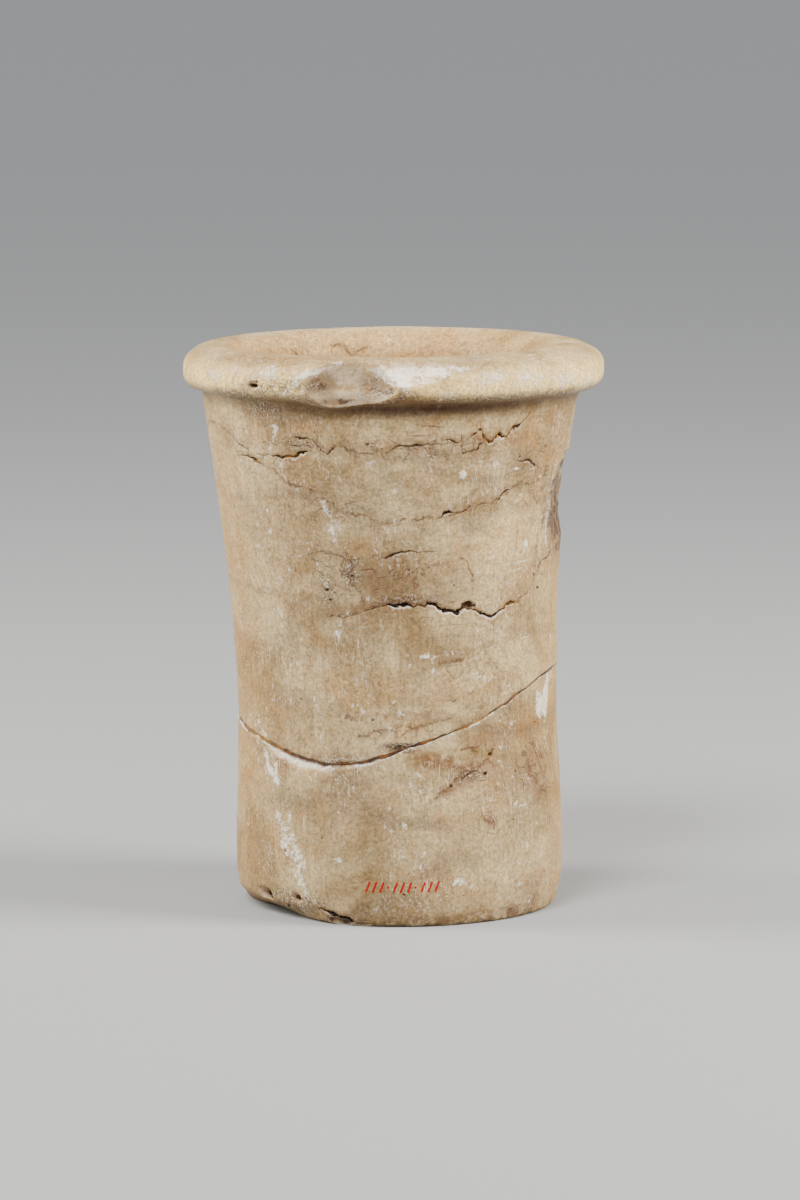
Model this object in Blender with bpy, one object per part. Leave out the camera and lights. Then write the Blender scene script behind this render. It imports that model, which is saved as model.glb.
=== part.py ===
"""Stone cylinder jar, broken across the wall and joined again with adhesive.

The jar stands on its flat underside, whose middle is the origin. +Z is up and -Y is the front.
Each stone fragment and the adhesive between them is turned from a half section as if the break
were level, and then every point is moved to the real break line and to the lean of the wall.
Chips and the flake are cut away by rough lumps.
"""

import math

import bmesh
import bpy
from mathutils import Matrix, Vector, noise

# The jar as a whole, in metres.
JAR_HEIGHT = 0.125
COLUMNS = 64

# Foot. It draws in a little towards the ground and ends in a small rounded edge.
FOOT_RADIUS = 0.0364
FOOT_WIDEST_HEIGHT = 0.0137
FOOT_TAPER = 0.0018
FOOT_EDGE_ROUNDING = 0.0013

# Outer wall. It is narrowest at the waist and flares to the neck under the rim.
WAIST_RADIUS = 0.03545
WAIST_HEIGHT = 0.044
NECK_RADIUS = 0.04135
FLARE_POWER = 1.8

# Rolled rim, from the top of the neck to the crest.
RIM_DEPTH = 0.0127
RIM_RADIUS = 0.04653
RIM_CROWN_DEPTH = 0.0049
RIM_BAND_DEPTH = 0.0014
RIM_BELLY_DEPTH = 0.0033
RIM_BELLY_WIDTH = 0.0024
CREST_RADIUS = 0.0391

# Drilled inside. The wall is measured at the waist and at the neck.
WALL_AT_WAIST = 0.0085
WALL_AT_NECK = 0.0101
FLOOR_THICKNESS = 0.014
FLOOR_ROUNDING = 0.009
LIP_DEPTH = 0.007

# The wall leans towards -X as it rises, and the rim leans a little less. The rim stands
# higher by RIM_RISE at its +X end, and lower by as much at its -X end.
LEAN = 0.0021
LEAN_START_HEIGHT = 0.015
LEAN_END_HEIGHT = 0.095
LEAN_POWER = 1.3
RIM_LEAN = 0.0013
RIM_RISE = 0.0003

# Break. The line gives its height above or below BREAK_HEIGHT at angles from the front.
BREAK_HEIGHT = 0.044
BREAK_LINE = (
    (-90, -0.0020),
    (-60, -0.0043),
    (-28, -0.0082),
    (-8, -0.0068),
    (10, -0.0031),
    (31, 0.0012),
    (50, 0.0063),
    (65, 0.0091),
    (85, 0.0096),
    (120, 0.0085),
    (160, 0.0045),
    (215, 0.0005),
)
BREAK_SPREAD = 0.020
JOIN_WIDTH = 0.0010
JOIN_CLEARANCE = 0.00033
ADHESIVE_RECESS = 0.0009
BRUISED_EDGE = 0.0005

# Worn edge of the foot, front left.
FOOT_WEAR = 0.0064
FOOT_WEAR_HEIGHT = 0.0037
FOOT_WEAR_ANGLE = -61
FOOT_WEAR_HALF_ANGLE = 42

# Chips: a scoop and a slanting facet out of the rim, a flake off the right flank, two nicks
# out of the foot. Depths are measured from the surface that was there.
SCOOP_ANGLE = -13
SCOOP_DEPTH = 0.0045
SCOOP_SIZE = (0.0145, 0.0085, 0.0080)
FACET_ANGLE = 7
FACET_DEPTH = 0.0021
FACET_SIZE = (0.0150, 0.0060, 0.0072)
FACET_TILT = 42
FLAKE_ANGLE = 83
FLAKE_HEIGHT = 0.0895
FLAKE_DEPTH = 0.0020
FLAKE_SIZE = (0.0450, 0.0120, 0.0190)
NICKS = (
    (-56, 0.0030, 0.0012, (0.0040, 0.0025, 0.0018)),
    (-27, 0.0012, 0.0016, (0.0046, 0.0028, 0.0022)),
)
ROUGHNESS_OF_BREAKS = 0.06

# Heights that follow from the sizes above.
NECK_HEIGHT = JAR_HEIGHT - RIM_DEPTH
CROWN_BASE = JAR_HEIGHT - RIM_CROWN_DEPTH
BAND_BASE = CROWN_BASE - RIM_BAND_DEPTH
BELLY_BASE = BAND_BASE - RIM_BELLY_DEPTH
LIP_BASE = JAR_HEIGHT - LIP_DEPTH
FLOOR_CORNER_HEIGHT = FLOOR_THICKNESS + FLOOR_ROUNDING


def clear_scene():
    """Removes what a new file holds."""
    for thing in list(bpy.data.objects):
        bpy.data.objects.remove(thing, do_unlink=True)


def stone_material(name, colour, roughness):
    """A plain material of one colour."""
    material = bpy.data.materials.new(name)
    material.use_nodes = True
    shader = material.node_tree.nodes["Principled BSDF"]
    shader.inputs["Base Color"].default_value = (*colour, 1.0)
    shader.inputs["Roughness"].default_value = roughness
    shader.inputs["Metallic"].default_value = 0.0
    return material


def ease(share):
    """Goes smoothly from 0 to 1 as share does."""
    share = min(max(share, 0.0), 1.0)
    return share * share * (3.0 - 2.0 * share)


def outer_radius(height):
    """Radius of the outer wall, from the foot to the neck."""
    if height < FOOT_WIDEST_HEIGHT:
        below = 1.0 - height / FOOT_WIDEST_HEIGHT
        return FOOT_RADIUS - FOOT_TAPER * below ** 3
    if height < WAIST_HEIGHT:
        rise = (height - FOOT_WIDEST_HEIGHT) / (WAIST_HEIGHT - FOOT_WIDEST_HEIGHT)
        return FOOT_RADIUS + (WAIST_RADIUS - FOOT_RADIUS) * ease(rise)
    rise = (height - WAIST_HEIGHT) / (NECK_HEIGHT - WAIST_HEIGHT)
    return WAIST_RADIUS + (NECK_RADIUS - WAIST_RADIUS) * rise ** FLARE_POWER


def bore_radius(height):
    """Radius of the drilled inside, a straight taper through the waist and the neck."""
    at_waist = WAIST_RADIUS - WALL_AT_WAIST
    at_neck = NECK_RADIUS - WALL_AT_NECK
    rise = (height - WAIST_HEIGHT) / (NECK_HEIGHT - WAIST_HEIGHT)
    return at_waist + (at_neck - at_waist) * rise


def break_offset(angle):
    """Height of the break line above or below BREAK_HEIGHT, smooth all the way round."""
    count = len(BREAK_LINE)
    first = BREAK_LINE[0][0]
    angle = first + (angle - first) % 360
    index = max(i for i in range(count) if BREAK_LINE[i][0] <= angle)
    points = []
    for step in range(-1, 3):
        turns, place = divmod(index + step, count)
        points.append((BREAK_LINE[place][0] + 360 * turns, BREAK_LINE[place][1]))
    (a0, h0), (a1, h1), (a2, h2), (a3, h3) = points
    slope1 = (h2 - h0) / (a2 - a0)
    slope2 = (h3 - h1) / (a3 - a1)
    width = a2 - a1
    t = (angle - a1) / width
    start = h1 * (2 * t ** 3 - 3 * t ** 2 + 1) + slope1 * width * (t ** 3 - 2 * t ** 2 + t)
    end = h2 * (3 * t ** 2 - 2 * t ** 3) + slope2 * width * (t ** 3 - t ** 2)
    return start + end


def lean_at(radius, height):
    """How far a point of the jar has moved towards -X."""
    rise = (height - LEAN_START_HEIGHT) / (LEAN_END_HEIGHT - LEAN_START_HEIGHT)
    wall = LEAN * min(max(rise, 0.0), 1.0) ** LEAN_POWER
    if height <= NECK_HEIGHT:
        return wall
    out_on_rim = ease((radius - CREST_RADIUS) / (RIM_RADIUS - CREST_RADIUS))
    return wall + (RIM_LEAN - wall) * out_on_rim


def foot_wear(angle, height):
    """How much the worn edge of the foot has lost at this angle and height."""
    around = abs(angle - FOOT_WEAR_ANGLE) / FOOT_WEAR_HALF_ANGLE
    up = height / FOOT_WEAR_HEIGHT
    if around >= 1.0 or up >= 1.0:
        return 0.0
    return FOOT_WEAR * ease(1.0 - around) * (1.0 - up)


def place_point(point):
    """Moves a point of the level, upright jar to where it is on the real one."""
    radius = math.hypot(point.x, point.y)
    angle = math.degrees(math.atan2(point.x, -point.y))
    height = point.z
    near_break = max(0.0, 1.0 - abs(height - BREAK_HEIGHT) / BREAK_SPREAD)
    new_height = height
    new_radius = radius
    if near_break > 0.0:
        new_height = height + break_offset(angle) * near_break
        inner = bore_radius(height)
        through_wall = (radius - inner) / (outer_radius(height) - inner)
        new_inner = bore_radius(new_height)
        new_radius = new_inner + (outer_radius(new_height) - new_inner) * through_wall
    if radius > FOOT_RADIUS / 2 and height < FOOT_WEAR_HEIGHT:
        new_radius = radius - foot_wear(angle, height)
    if height > NECK_HEIGHT:
        up_rim = ease((height - NECK_HEIGHT) / RIM_DEPTH)
        new_height += RIM_RISE * up_rim * point.x / RIM_RADIUS
    scale = new_radius / radius if radius > 0.0 else 1.0
    return Vector((point.x * scale - lean_at(radius, height), point.y * scale, new_height))


def steps(start, end, count):
    """Evenly spaced values after start, up to and with end."""
    return [start + (end - start) * i / count for i in range(1, count + 1)]


def rim_section():
    """The rolled rim from the top of the neck, over the crest, to the foot of the inner lip."""
    belly_centre = RIM_RADIUS - RIM_BELLY_WIDTH
    hollow = Vector((NECK_RADIUS + 0.15 * (belly_centre - NECK_RADIUS), BELLY_BASE))
    low = Vector((NECK_RADIUS, NECK_HEIGHT))
    high = Vector((belly_centre, BELLY_BASE))
    points = []
    for t in steps(0.0, 1.0, 3):
        points.append(low * (1 - t) ** 2 + hollow * 2 * t * (1 - t) + high * t ** 2)
    for turn in steps(0.0, math.pi / 2, 3):
        out = belly_centre + RIM_BELLY_WIDTH * math.sin(turn)
        points.append(Vector((out, BAND_BASE - RIM_BELLY_DEPTH * math.cos(turn))))
    for turn in steps(0.0, math.pi / 2, 6):
        out = CREST_RADIUS + (RIM_RADIUS - CREST_RADIUS) * math.cos(turn)
        points.append(Vector((out, CROWN_BASE + RIM_CROWN_DEPTH * math.sin(turn))))
    lip_width = CREST_RADIUS - bore_radius(LIP_BASE)
    for turn in steps(0.0, math.pi / 2, 4):
        out = CREST_RADIUS - lip_width * math.sin(turn)
        points.append(Vector((out, LIP_BASE + LIP_DEPTH * math.cos(turn))))
    return points


def upper_section():
    """Closed half section of the upper fragment, from the break up, over and down again."""
    face = BREAK_HEIGHT + JOIN_WIDTH / 2
    settled = BREAK_HEIGHT + BREAK_SPREAD
    edge = face + BRUISED_EDGE
    points = [Vector((outer_radius(face) - BRUISED_EDGE, face)), Vector((outer_radius(edge), edge))]
    for height in steps(edge, settled, 3) + steps(settled, NECK_HEIGHT, 7):
        points.append(Vector((outer_radius(height), height)))
    points += rim_section()
    for height in steps(LIP_BASE, settled, 5) + steps(settled, face, 3):
        points.append(Vector((bore_radius(height), height)))
    return points


def lower_section():
    """Open half section of the lower fragment, from its underside round to the drilled floor."""
    face = BREAK_HEIGHT - JOIN_WIDTH / 2
    settled = BREAK_HEIGHT - BREAK_SPREAD
    edge = face - BRUISED_EDGE
    edge_radius = outer_radius(FOOT_EDGE_ROUNDING)
    points = [Vector((0.0, 0.0))]
    for turn in [0.0] + steps(0.0, math.pi / 2, 3):
        out = edge_radius - FOOT_EDGE_ROUNDING * (1.0 - math.sin(turn))
        points.append(Vector((out, FOOT_EDGE_ROUNDING * (1.0 - math.cos(turn)))))
    for height in steps(FOOT_EDGE_ROUNDING, settled, 6) + steps(settled, edge, 3):
        points.append(Vector((outer_radius(height), height)))
    points.append(Vector((outer_radius(face) - BRUISED_EDGE, face)))
    points.append(Vector((bore_radius(face), face)))
    for height in steps(face, settled, 3) + [FLOOR_CORNER_HEIGHT]:
        points.append(Vector((bore_radius(height), height)))
    corner = bore_radius(FLOOR_CORNER_HEIGHT) - FLOOR_ROUNDING
    for turn in steps(0.0, math.pi / 2, 4):
        down = FLOOR_CORNER_HEIGHT - FLOOR_ROUNDING * math.sin(turn)
        points.append(Vector((corner + FLOOR_ROUNDING * math.cos(turn), down)))
    points.append(Vector((0.0, FLOOR_THICKNESS)))
    return points


def adhesive_section():
    """Closed half section of the adhesive, clear of both break faces and behind the surfaces."""
    half = JOIN_WIDTH / 2 - JOIN_CLEARANCE
    out = outer_radius(BREAK_HEIGHT) - ADHESIVE_RECESS
    inside = bore_radius(BREAK_HEIGHT) + ADHESIVE_RECESS
    corners = ((out, -half), (out, half), (inside, half), (inside, -half))
    return [Vector((radius, BREAK_HEIGHT + rise)) for radius, rise in corners]


def turned_piece(name, section, closed, material):
    """Spins a half section round the axis, then moves its points to the real jar's shape."""
    mesh_edit = bmesh.new()
    verts = [mesh_edit.verts.new((0.0, -point.x, point.y)) for point in section]
    edges = [mesh_edit.edges.new(pair) for pair in zip(verts, verts[1:])]
    if closed:
        edges.append(mesh_edit.edges.new((verts[-1], verts[0])))
    bmesh.ops.spin(
        mesh_edit,
        geom=verts + edges,
        cent=(0.0, 0.0, 0.0),
        axis=(0.0, 0.0, 1.0),
        angle=2 * math.pi,
        steps=COLUMNS,
    )
    bmesh.ops.remove_doubles(mesh_edit, verts=mesh_edit.verts, dist=0.000005)
    for vert in mesh_edit.verts:
        vert.co = place_point(vert.co)
    bmesh.ops.recalc_face_normals(mesh_edit, faces=mesh_edit.faces)
    mesh = bpy.data.meshes.new(name)
    mesh_edit.to_mesh(mesh)
    mesh_edit.free()
    mesh.shade_smooth()
    mesh.set_sharp_from_angle(angle=math.radians(35))
    mesh.materials.append(material)
    piece = bpy.data.objects.new(name, mesh)
    bpy.context.collection.objects.link(piece)
    return piece


def outward(angle):
    """Level direction away from the axis at an angle from the front."""
    turn = math.radians(angle)
    return Vector((math.sin(turn), -math.cos(turn), 0.0))


def cut_lump(piece, name, surface_point, angle, tilt, depth, size):
    """Cuts a rough lump out of a piece, so that its deepest point is depth below the surface.

    size holds the lump's half widths: along the surface, into the stone and up the surface.
    tilt turns the direction into the stone from level (0) towards straight down (90).
    """
    mesh_edit = bmesh.new()
    bmesh.ops.create_icosphere(mesh_edit, subdivisions=3, radius=1.0)
    seed = Vector((angle, tilt, 1000 * depth))
    for vert in mesh_edit.verts:
        bump = noise.noise(vert.co * 2.3 + seed) + 0.5 * noise.noise(vert.co * 5.1 + seed)
        vert.co *= 1.0 + ROUGHNESS_OF_BREAKS * bump
    mesh = bpy.data.meshes.new(name)
    mesh_edit.to_mesh(mesh)
    mesh_edit.free()
    turn = Matrix.Rotation(math.radians(angle), 4, "Z")
    turn = turn @ Matrix.Rotation(math.radians(tilt), 4, "X").inverted()
    mesh.transform(Matrix.Diagonal((*size, 1.0)))
    lump = bpy.data.objects.new(name, mesh)
    lump.matrix_world = turn
    into_stone = turn.to_3x3() @ Vector((0.0, 1.0, 0.0))
    lump.location = surface_point - into_stone * (size[1] - depth)
    lump.hide_render = True
    lump.display_type = "WIRE"
    bpy.context.collection.objects.link(lump)
    cut = piece.modifiers.new(name, "BOOLEAN")
    cut.operation = "DIFFERENCE"
    cut.solver = "EXACT"
    cut.object = lump


def on_surface(radius, height, angle):
    """Point of the leaning jar at a radius, a height and an angle from the front."""
    return outward(angle) * radius + Vector((-lean_at(radius, height), 0.0, height))


def chip_upper_fragment(piece):
    """Takes the scoop and the facet out of the rim and the flake off the right flank."""
    widest = (BAND_BASE + CROWN_BASE) / 2
    scoop = on_surface(RIM_RADIUS, widest, SCOOP_ANGLE)
    cut_lump(piece, "rim_scoop_cut", scoop, SCOOP_ANGLE, 10, SCOOP_DEPTH, SCOOP_SIZE)
    slope = math.radians(FACET_TILT)
    out = CREST_RADIUS + (RIM_RADIUS - CREST_RADIUS) * math.cos(slope)
    up = CROWN_BASE + RIM_CROWN_DEPTH * math.sin(slope)
    facet = on_surface(out, up, FACET_ANGLE)
    cut_lump(piece, "rim_facet_cut", facet, FACET_ANGLE, FACET_TILT, FACET_DEPTH, FACET_SIZE)
    flake = on_surface(outer_radius(FLAKE_HEIGHT), FLAKE_HEIGHT, FLAKE_ANGLE)
    cut_lump(piece, "flank_flake_cut", flake, FLAKE_ANGLE, 0, FLAKE_DEPTH, FLAKE_SIZE)


def chip_lower_fragment(piece):
    """Takes the two small nicks out of the worn edge of the foot."""
    for index, (angle, height, depth, size) in enumerate(NICKS, start=1):
        radius = outer_radius(height) - foot_wear(angle, height)
        cut_lump(piece, f"foot_nick_{index}_cut", outward(angle) * radius + Vector((0, 0, height)),
                 angle, 0, depth, size)


def build_jar():
    """Makes the two stone fragments and the adhesive between them."""
    clear_scene()
    stone = stone_material("cream calcite", (0.56, 0.45, 0.32), 0.45)
    lower_stone = stone_material("cream calcite, lower fragment", (0.54, 0.43, 0.31), 0.45)
    amber = stone_material("amber adhesive", (0.20, 0.08, 0.015), 0.30)
    upper = turned_piece("jar_upper_fragment", upper_section(), True, stone)
    lower = turned_piece("jar_lower_fragment", lower_section(), False, lower_stone)
    turned_piece("join_adhesive", adhesive_section(), True, amber)
    chip_upper_fragment(upper)
    chip_lower_fragment(lower)


build_jar()
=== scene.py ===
"""Looks of the stone cylinder jar: two fragments of veined cream calcite and the amber adhesive.

Each fragment starts as a flat grid that is rolled into a closed shell with the jar's section.
It is cut finer where something small is carved, and then chipped, cracked and worn by moving
its points. Line and patch attributes on the mesh tell the stone material where to stain and
where to paint light and shade.
The jar's front is -Y, angles are in degrees from the front towards +X, and MM is a millimetre.
"""
import math
import random

import bpy
import numpy as np
from mathutils import Matrix, Vector, noise


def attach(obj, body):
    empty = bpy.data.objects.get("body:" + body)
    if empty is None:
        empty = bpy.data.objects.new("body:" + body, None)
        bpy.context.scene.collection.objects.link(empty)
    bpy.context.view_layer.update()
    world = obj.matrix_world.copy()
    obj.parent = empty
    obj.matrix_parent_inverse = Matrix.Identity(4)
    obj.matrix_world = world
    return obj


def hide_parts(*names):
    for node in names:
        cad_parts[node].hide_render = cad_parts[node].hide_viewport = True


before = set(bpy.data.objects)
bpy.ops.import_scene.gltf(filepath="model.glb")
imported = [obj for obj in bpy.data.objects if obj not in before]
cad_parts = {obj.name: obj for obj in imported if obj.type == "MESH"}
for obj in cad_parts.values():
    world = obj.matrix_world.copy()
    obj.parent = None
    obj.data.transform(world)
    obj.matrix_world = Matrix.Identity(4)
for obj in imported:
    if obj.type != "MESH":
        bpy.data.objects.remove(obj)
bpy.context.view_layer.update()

MM = 0.001

# Wall, foot, rim and inside of the jar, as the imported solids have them.
JAR_HEIGHT = 125.0 * MM
FOOT_RADIUS = 36.4 * MM
FOOT_WIDEST_HEIGHT = 13.7 * MM
FOOT_TAPER = 1.8 * MM
FOOT_EDGE_ROUNDING = 1.3 * MM
WAIST_RADIUS = 35.45 * MM
WAIST_HEIGHT = 44.0 * MM
NECK_RADIUS = 41.35 * MM
FLARE_POWER = 1.8
RIM_DEPTH = 12.7 * MM
RIM_RADIUS = 46.53 * MM
RIM_CROWN_DEPTH = 4.9 * MM
RIM_BAND_DEPTH = 1.4 * MM
RIM_BELLY_DEPTH = 3.3 * MM
RIM_BELLY_WIDTH = 2.4 * MM
CREST_RADIUS = 39.1 * MM
WALL_AT_WAIST = 8.5 * MM
WALL_AT_NECK = 10.1 * MM
FLOOR_THICKNESS = 14.0 * MM
FLOOR_ROUNDING = 9.0 * MM
LIP_DEPTH = 7.0 * MM
NECK_HEIGHT = JAR_HEIGHT - RIM_DEPTH
CROWN_BASE = JAR_HEIGHT - RIM_CROWN_DEPTH
BAND_BASE = CROWN_BASE - RIM_BAND_DEPTH
BELLY_BASE = BAND_BASE - RIM_BELLY_DEPTH
LIP_BASE = JAR_HEIGHT - LIP_DEPTH
FLOOR_CORNER_HEIGHT = FLOOR_THICKNESS + FLOOR_ROUNDING

# Radius and height of the ring inside the rim that chips are cut towards.
RIM_CORE = (40.2 * MM, 118.0 * MM)

# Painted shade in the cove under the rim, strongest a little right of the front, and painted shade
# above it.
COVE_HEIGHT = 114.1 * MM
COVE_SPREAD = 3.1 * MM
COVE_ANGLE = 13
COVE_HALF_ANGLE = 45
LOW_BELLY_HEIGHT = 115.4 * MM
LOW_BELLY_SPREAD = 3.0 * MM
LOW_BELLY_SHADE = 0.30

# Droop of the rim's underside, left of the scoop.
RIM_DROOP = 1.0 * MM
RIM_DROOP_ANGLE = -17.5
RIM_DROOP_HALF_ANGLE = 13

# Lean of the wall and of the rim towards -X, and the rim's rise towards +X.
LEAN = 2.1 * MM
LEAN_START_HEIGHT = 15.0 * MM
LEAN_END_HEIGHT = 95.0 * MM
LEAN_POWER = 1.3
RIM_LEAN = 1.3 * MM
RIM_RISE = 0.3 * MM

# Break line: angle, and millimetres above or below the break's middle height.
BREAK_HEIGHT = 44.0 * MM
BREAK_SPREAD = 20.0 * MM
BREAK_LINE = (
    (-90, -2.0),
    (-60, -4.3),
    (-28, -8.2),
    (-8, -6.8),
    (10, -3.1),
    (31, 1.2),
    (50, 6.3),
    (65, 9.1),
    (85, 9.6),
    (120, 8.5),
    (160, 4.5),
    (215, 0.5),
)
BREAK_WANDER = 0.40

# The gap between the fragments is widest on the front left.
GAP_HALF_WIDTH = 0.25 * MM
GAP_LEAST = 0.12 * MM
GAP_WIDER = 0.08 * MM
GAP_WIDEST_ANGLE = -42
GAP_WIDEST_HALF_ANGLE = 34
GAP_REACH = 2.5 * MM
MISMATCH = 0.25 * MM
ADHESIVE_RECESS = 0.16 * MM

# Broad rubbed bevel along the lower break edge, front left, and how wide it is.
BEVEL_ANGLE = -38
BEVEL_HALF_ANGLE = 10
BEVEL_WIDTH = 1.9

# Broader bruises along the lower break edge: angle, half angle and millimetres added.
BROAD_BRUISES = (
    (-15, 14, 0.9),
    (130, 25, 0.4),
)

# Where the break's edge is chalky under the front, and where it is dusty above it.
CHALKY_EDGE_ANGLE = 5
CHALKY_EDGE_HALF_ANGLE = 8
DUSTY_EDGE_ANGLE = -22
DUSTY_EDGE_HALF_ANGLE = 20

# How far along the wall a break's edge, a crack's groove, a crack's stain and a soft line are
# looked for, in millimetres. FAR stands for nothing near.
EDGE_REACH = 5.0
GROOVE_REACH = 2.0
CRACK_REACH = 3.0
LINE_REACH = 4.0
FAR = 9.0

# Where the adhesive is clear and golden: angle, half angle and strength.
CLEAR_RESIN = (
    (30, 4, 1.0),
    (-60, 9, 0.45),
)

# Worn edge of the foot, front left.
FOOT_WEAR = 6.4 * MM
FOOT_WEAR_HEIGHT = 3.7 * MM
FOOT_WEAR_ANGLE = -61
FOOT_WEAR_HALF_ANGLE = 42

# Chips, each with its angle, height, tilt into the stone, depth, and half widths along the
# surface, into the stone and up the surface, in millimetres. The big flake is off the right
# flank, and a chip at least as wide as WIDE_CHIP is as rough as the flake.
WIDE_CHIP = 20.0
FLAKE_ROUGHNESS = 0.36 * MM
WALL_CHIP_ROUGHNESS = 0.16 * MM
RIM_CHIP_ROUGHNESS = 0.30 * MM
CHIP_LUMPS = 3.2 * MM
CHIP_EDGE_ROUNDING = 0.10 * MM
FRESH_DEPTH = 0.25 * MM
RIM_CHIPS = (
    (-11.5, 119.4, 14, 4.6, (12.6, 8.5, 7.4)),
    (-19.5, 119.2, 0, 1.9, (4.6, 3.6, 4.2)),
    (5, 122.6, 38, 2.0, (12.0, 6.0, 6.6)),
    (-40.5, 118.6, 10, 0.8, (1.6, 1.4, 1.2)),
    (-30, 117.6, 0, 0.5, (3.0, 1.6, 1.8)),
    (150, 121.5, 35, 1.4, (7.0, 4.0, 4.5)),
)
UPPER_WALL_CHIPS = (
    (83, 89.5, 0, 2.0, (45.0, 12.0, 19.0)),
    (99, 85.5, 0, 1.2, (13.0, 7.0, 9.0)),
    (95, 96.0, 0, 0.9, (8.0, 5.0, 6.0)),
    (71.5, 91.0, 0, 1.3, (3.6, 3.4, 6.5)),
    (0.8, 38.7, 0, 1.1, (4.2, 2.4, 2.2)),
    (-2.6, 39.6, 0, 0.6, (1.6, 1.2, 1.0)),
    (3.6, 39.9, 0, 0.5, (2.4, 1.2, 1.1)),
    (-56.5, 40.2, 0, 0.5, (3.0, 1.2, 1.2)),
    (90, 53.9, 0, 0.9, (3.2, 1.6, 1.5)),
)
LOWER_WALL_CHIPS = (
    (-55.7, 4.6, -12, 2.1, (3.0, 3.0, 1.8)),
    (-46, 2.8, 0, 0.7, (1.6, 1.4, 0.8)),
    (-38.5, 5.2, 0, 1.0, (1.3, 1.4, 0.9)),
    (-21.5, 0.9, 0, 2.6, (3.6, 3.6, 1.3)),
    (-14, 0.6, 0, 1.2, (3.0, 2.0, 0.7)),
    (73, 52.6, 10, 0.7, (2.6, 1.6, 1.7)),
    (140, 1.6, 0, 1.3, (5.0, 2.6, 2.2)),
)

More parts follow.
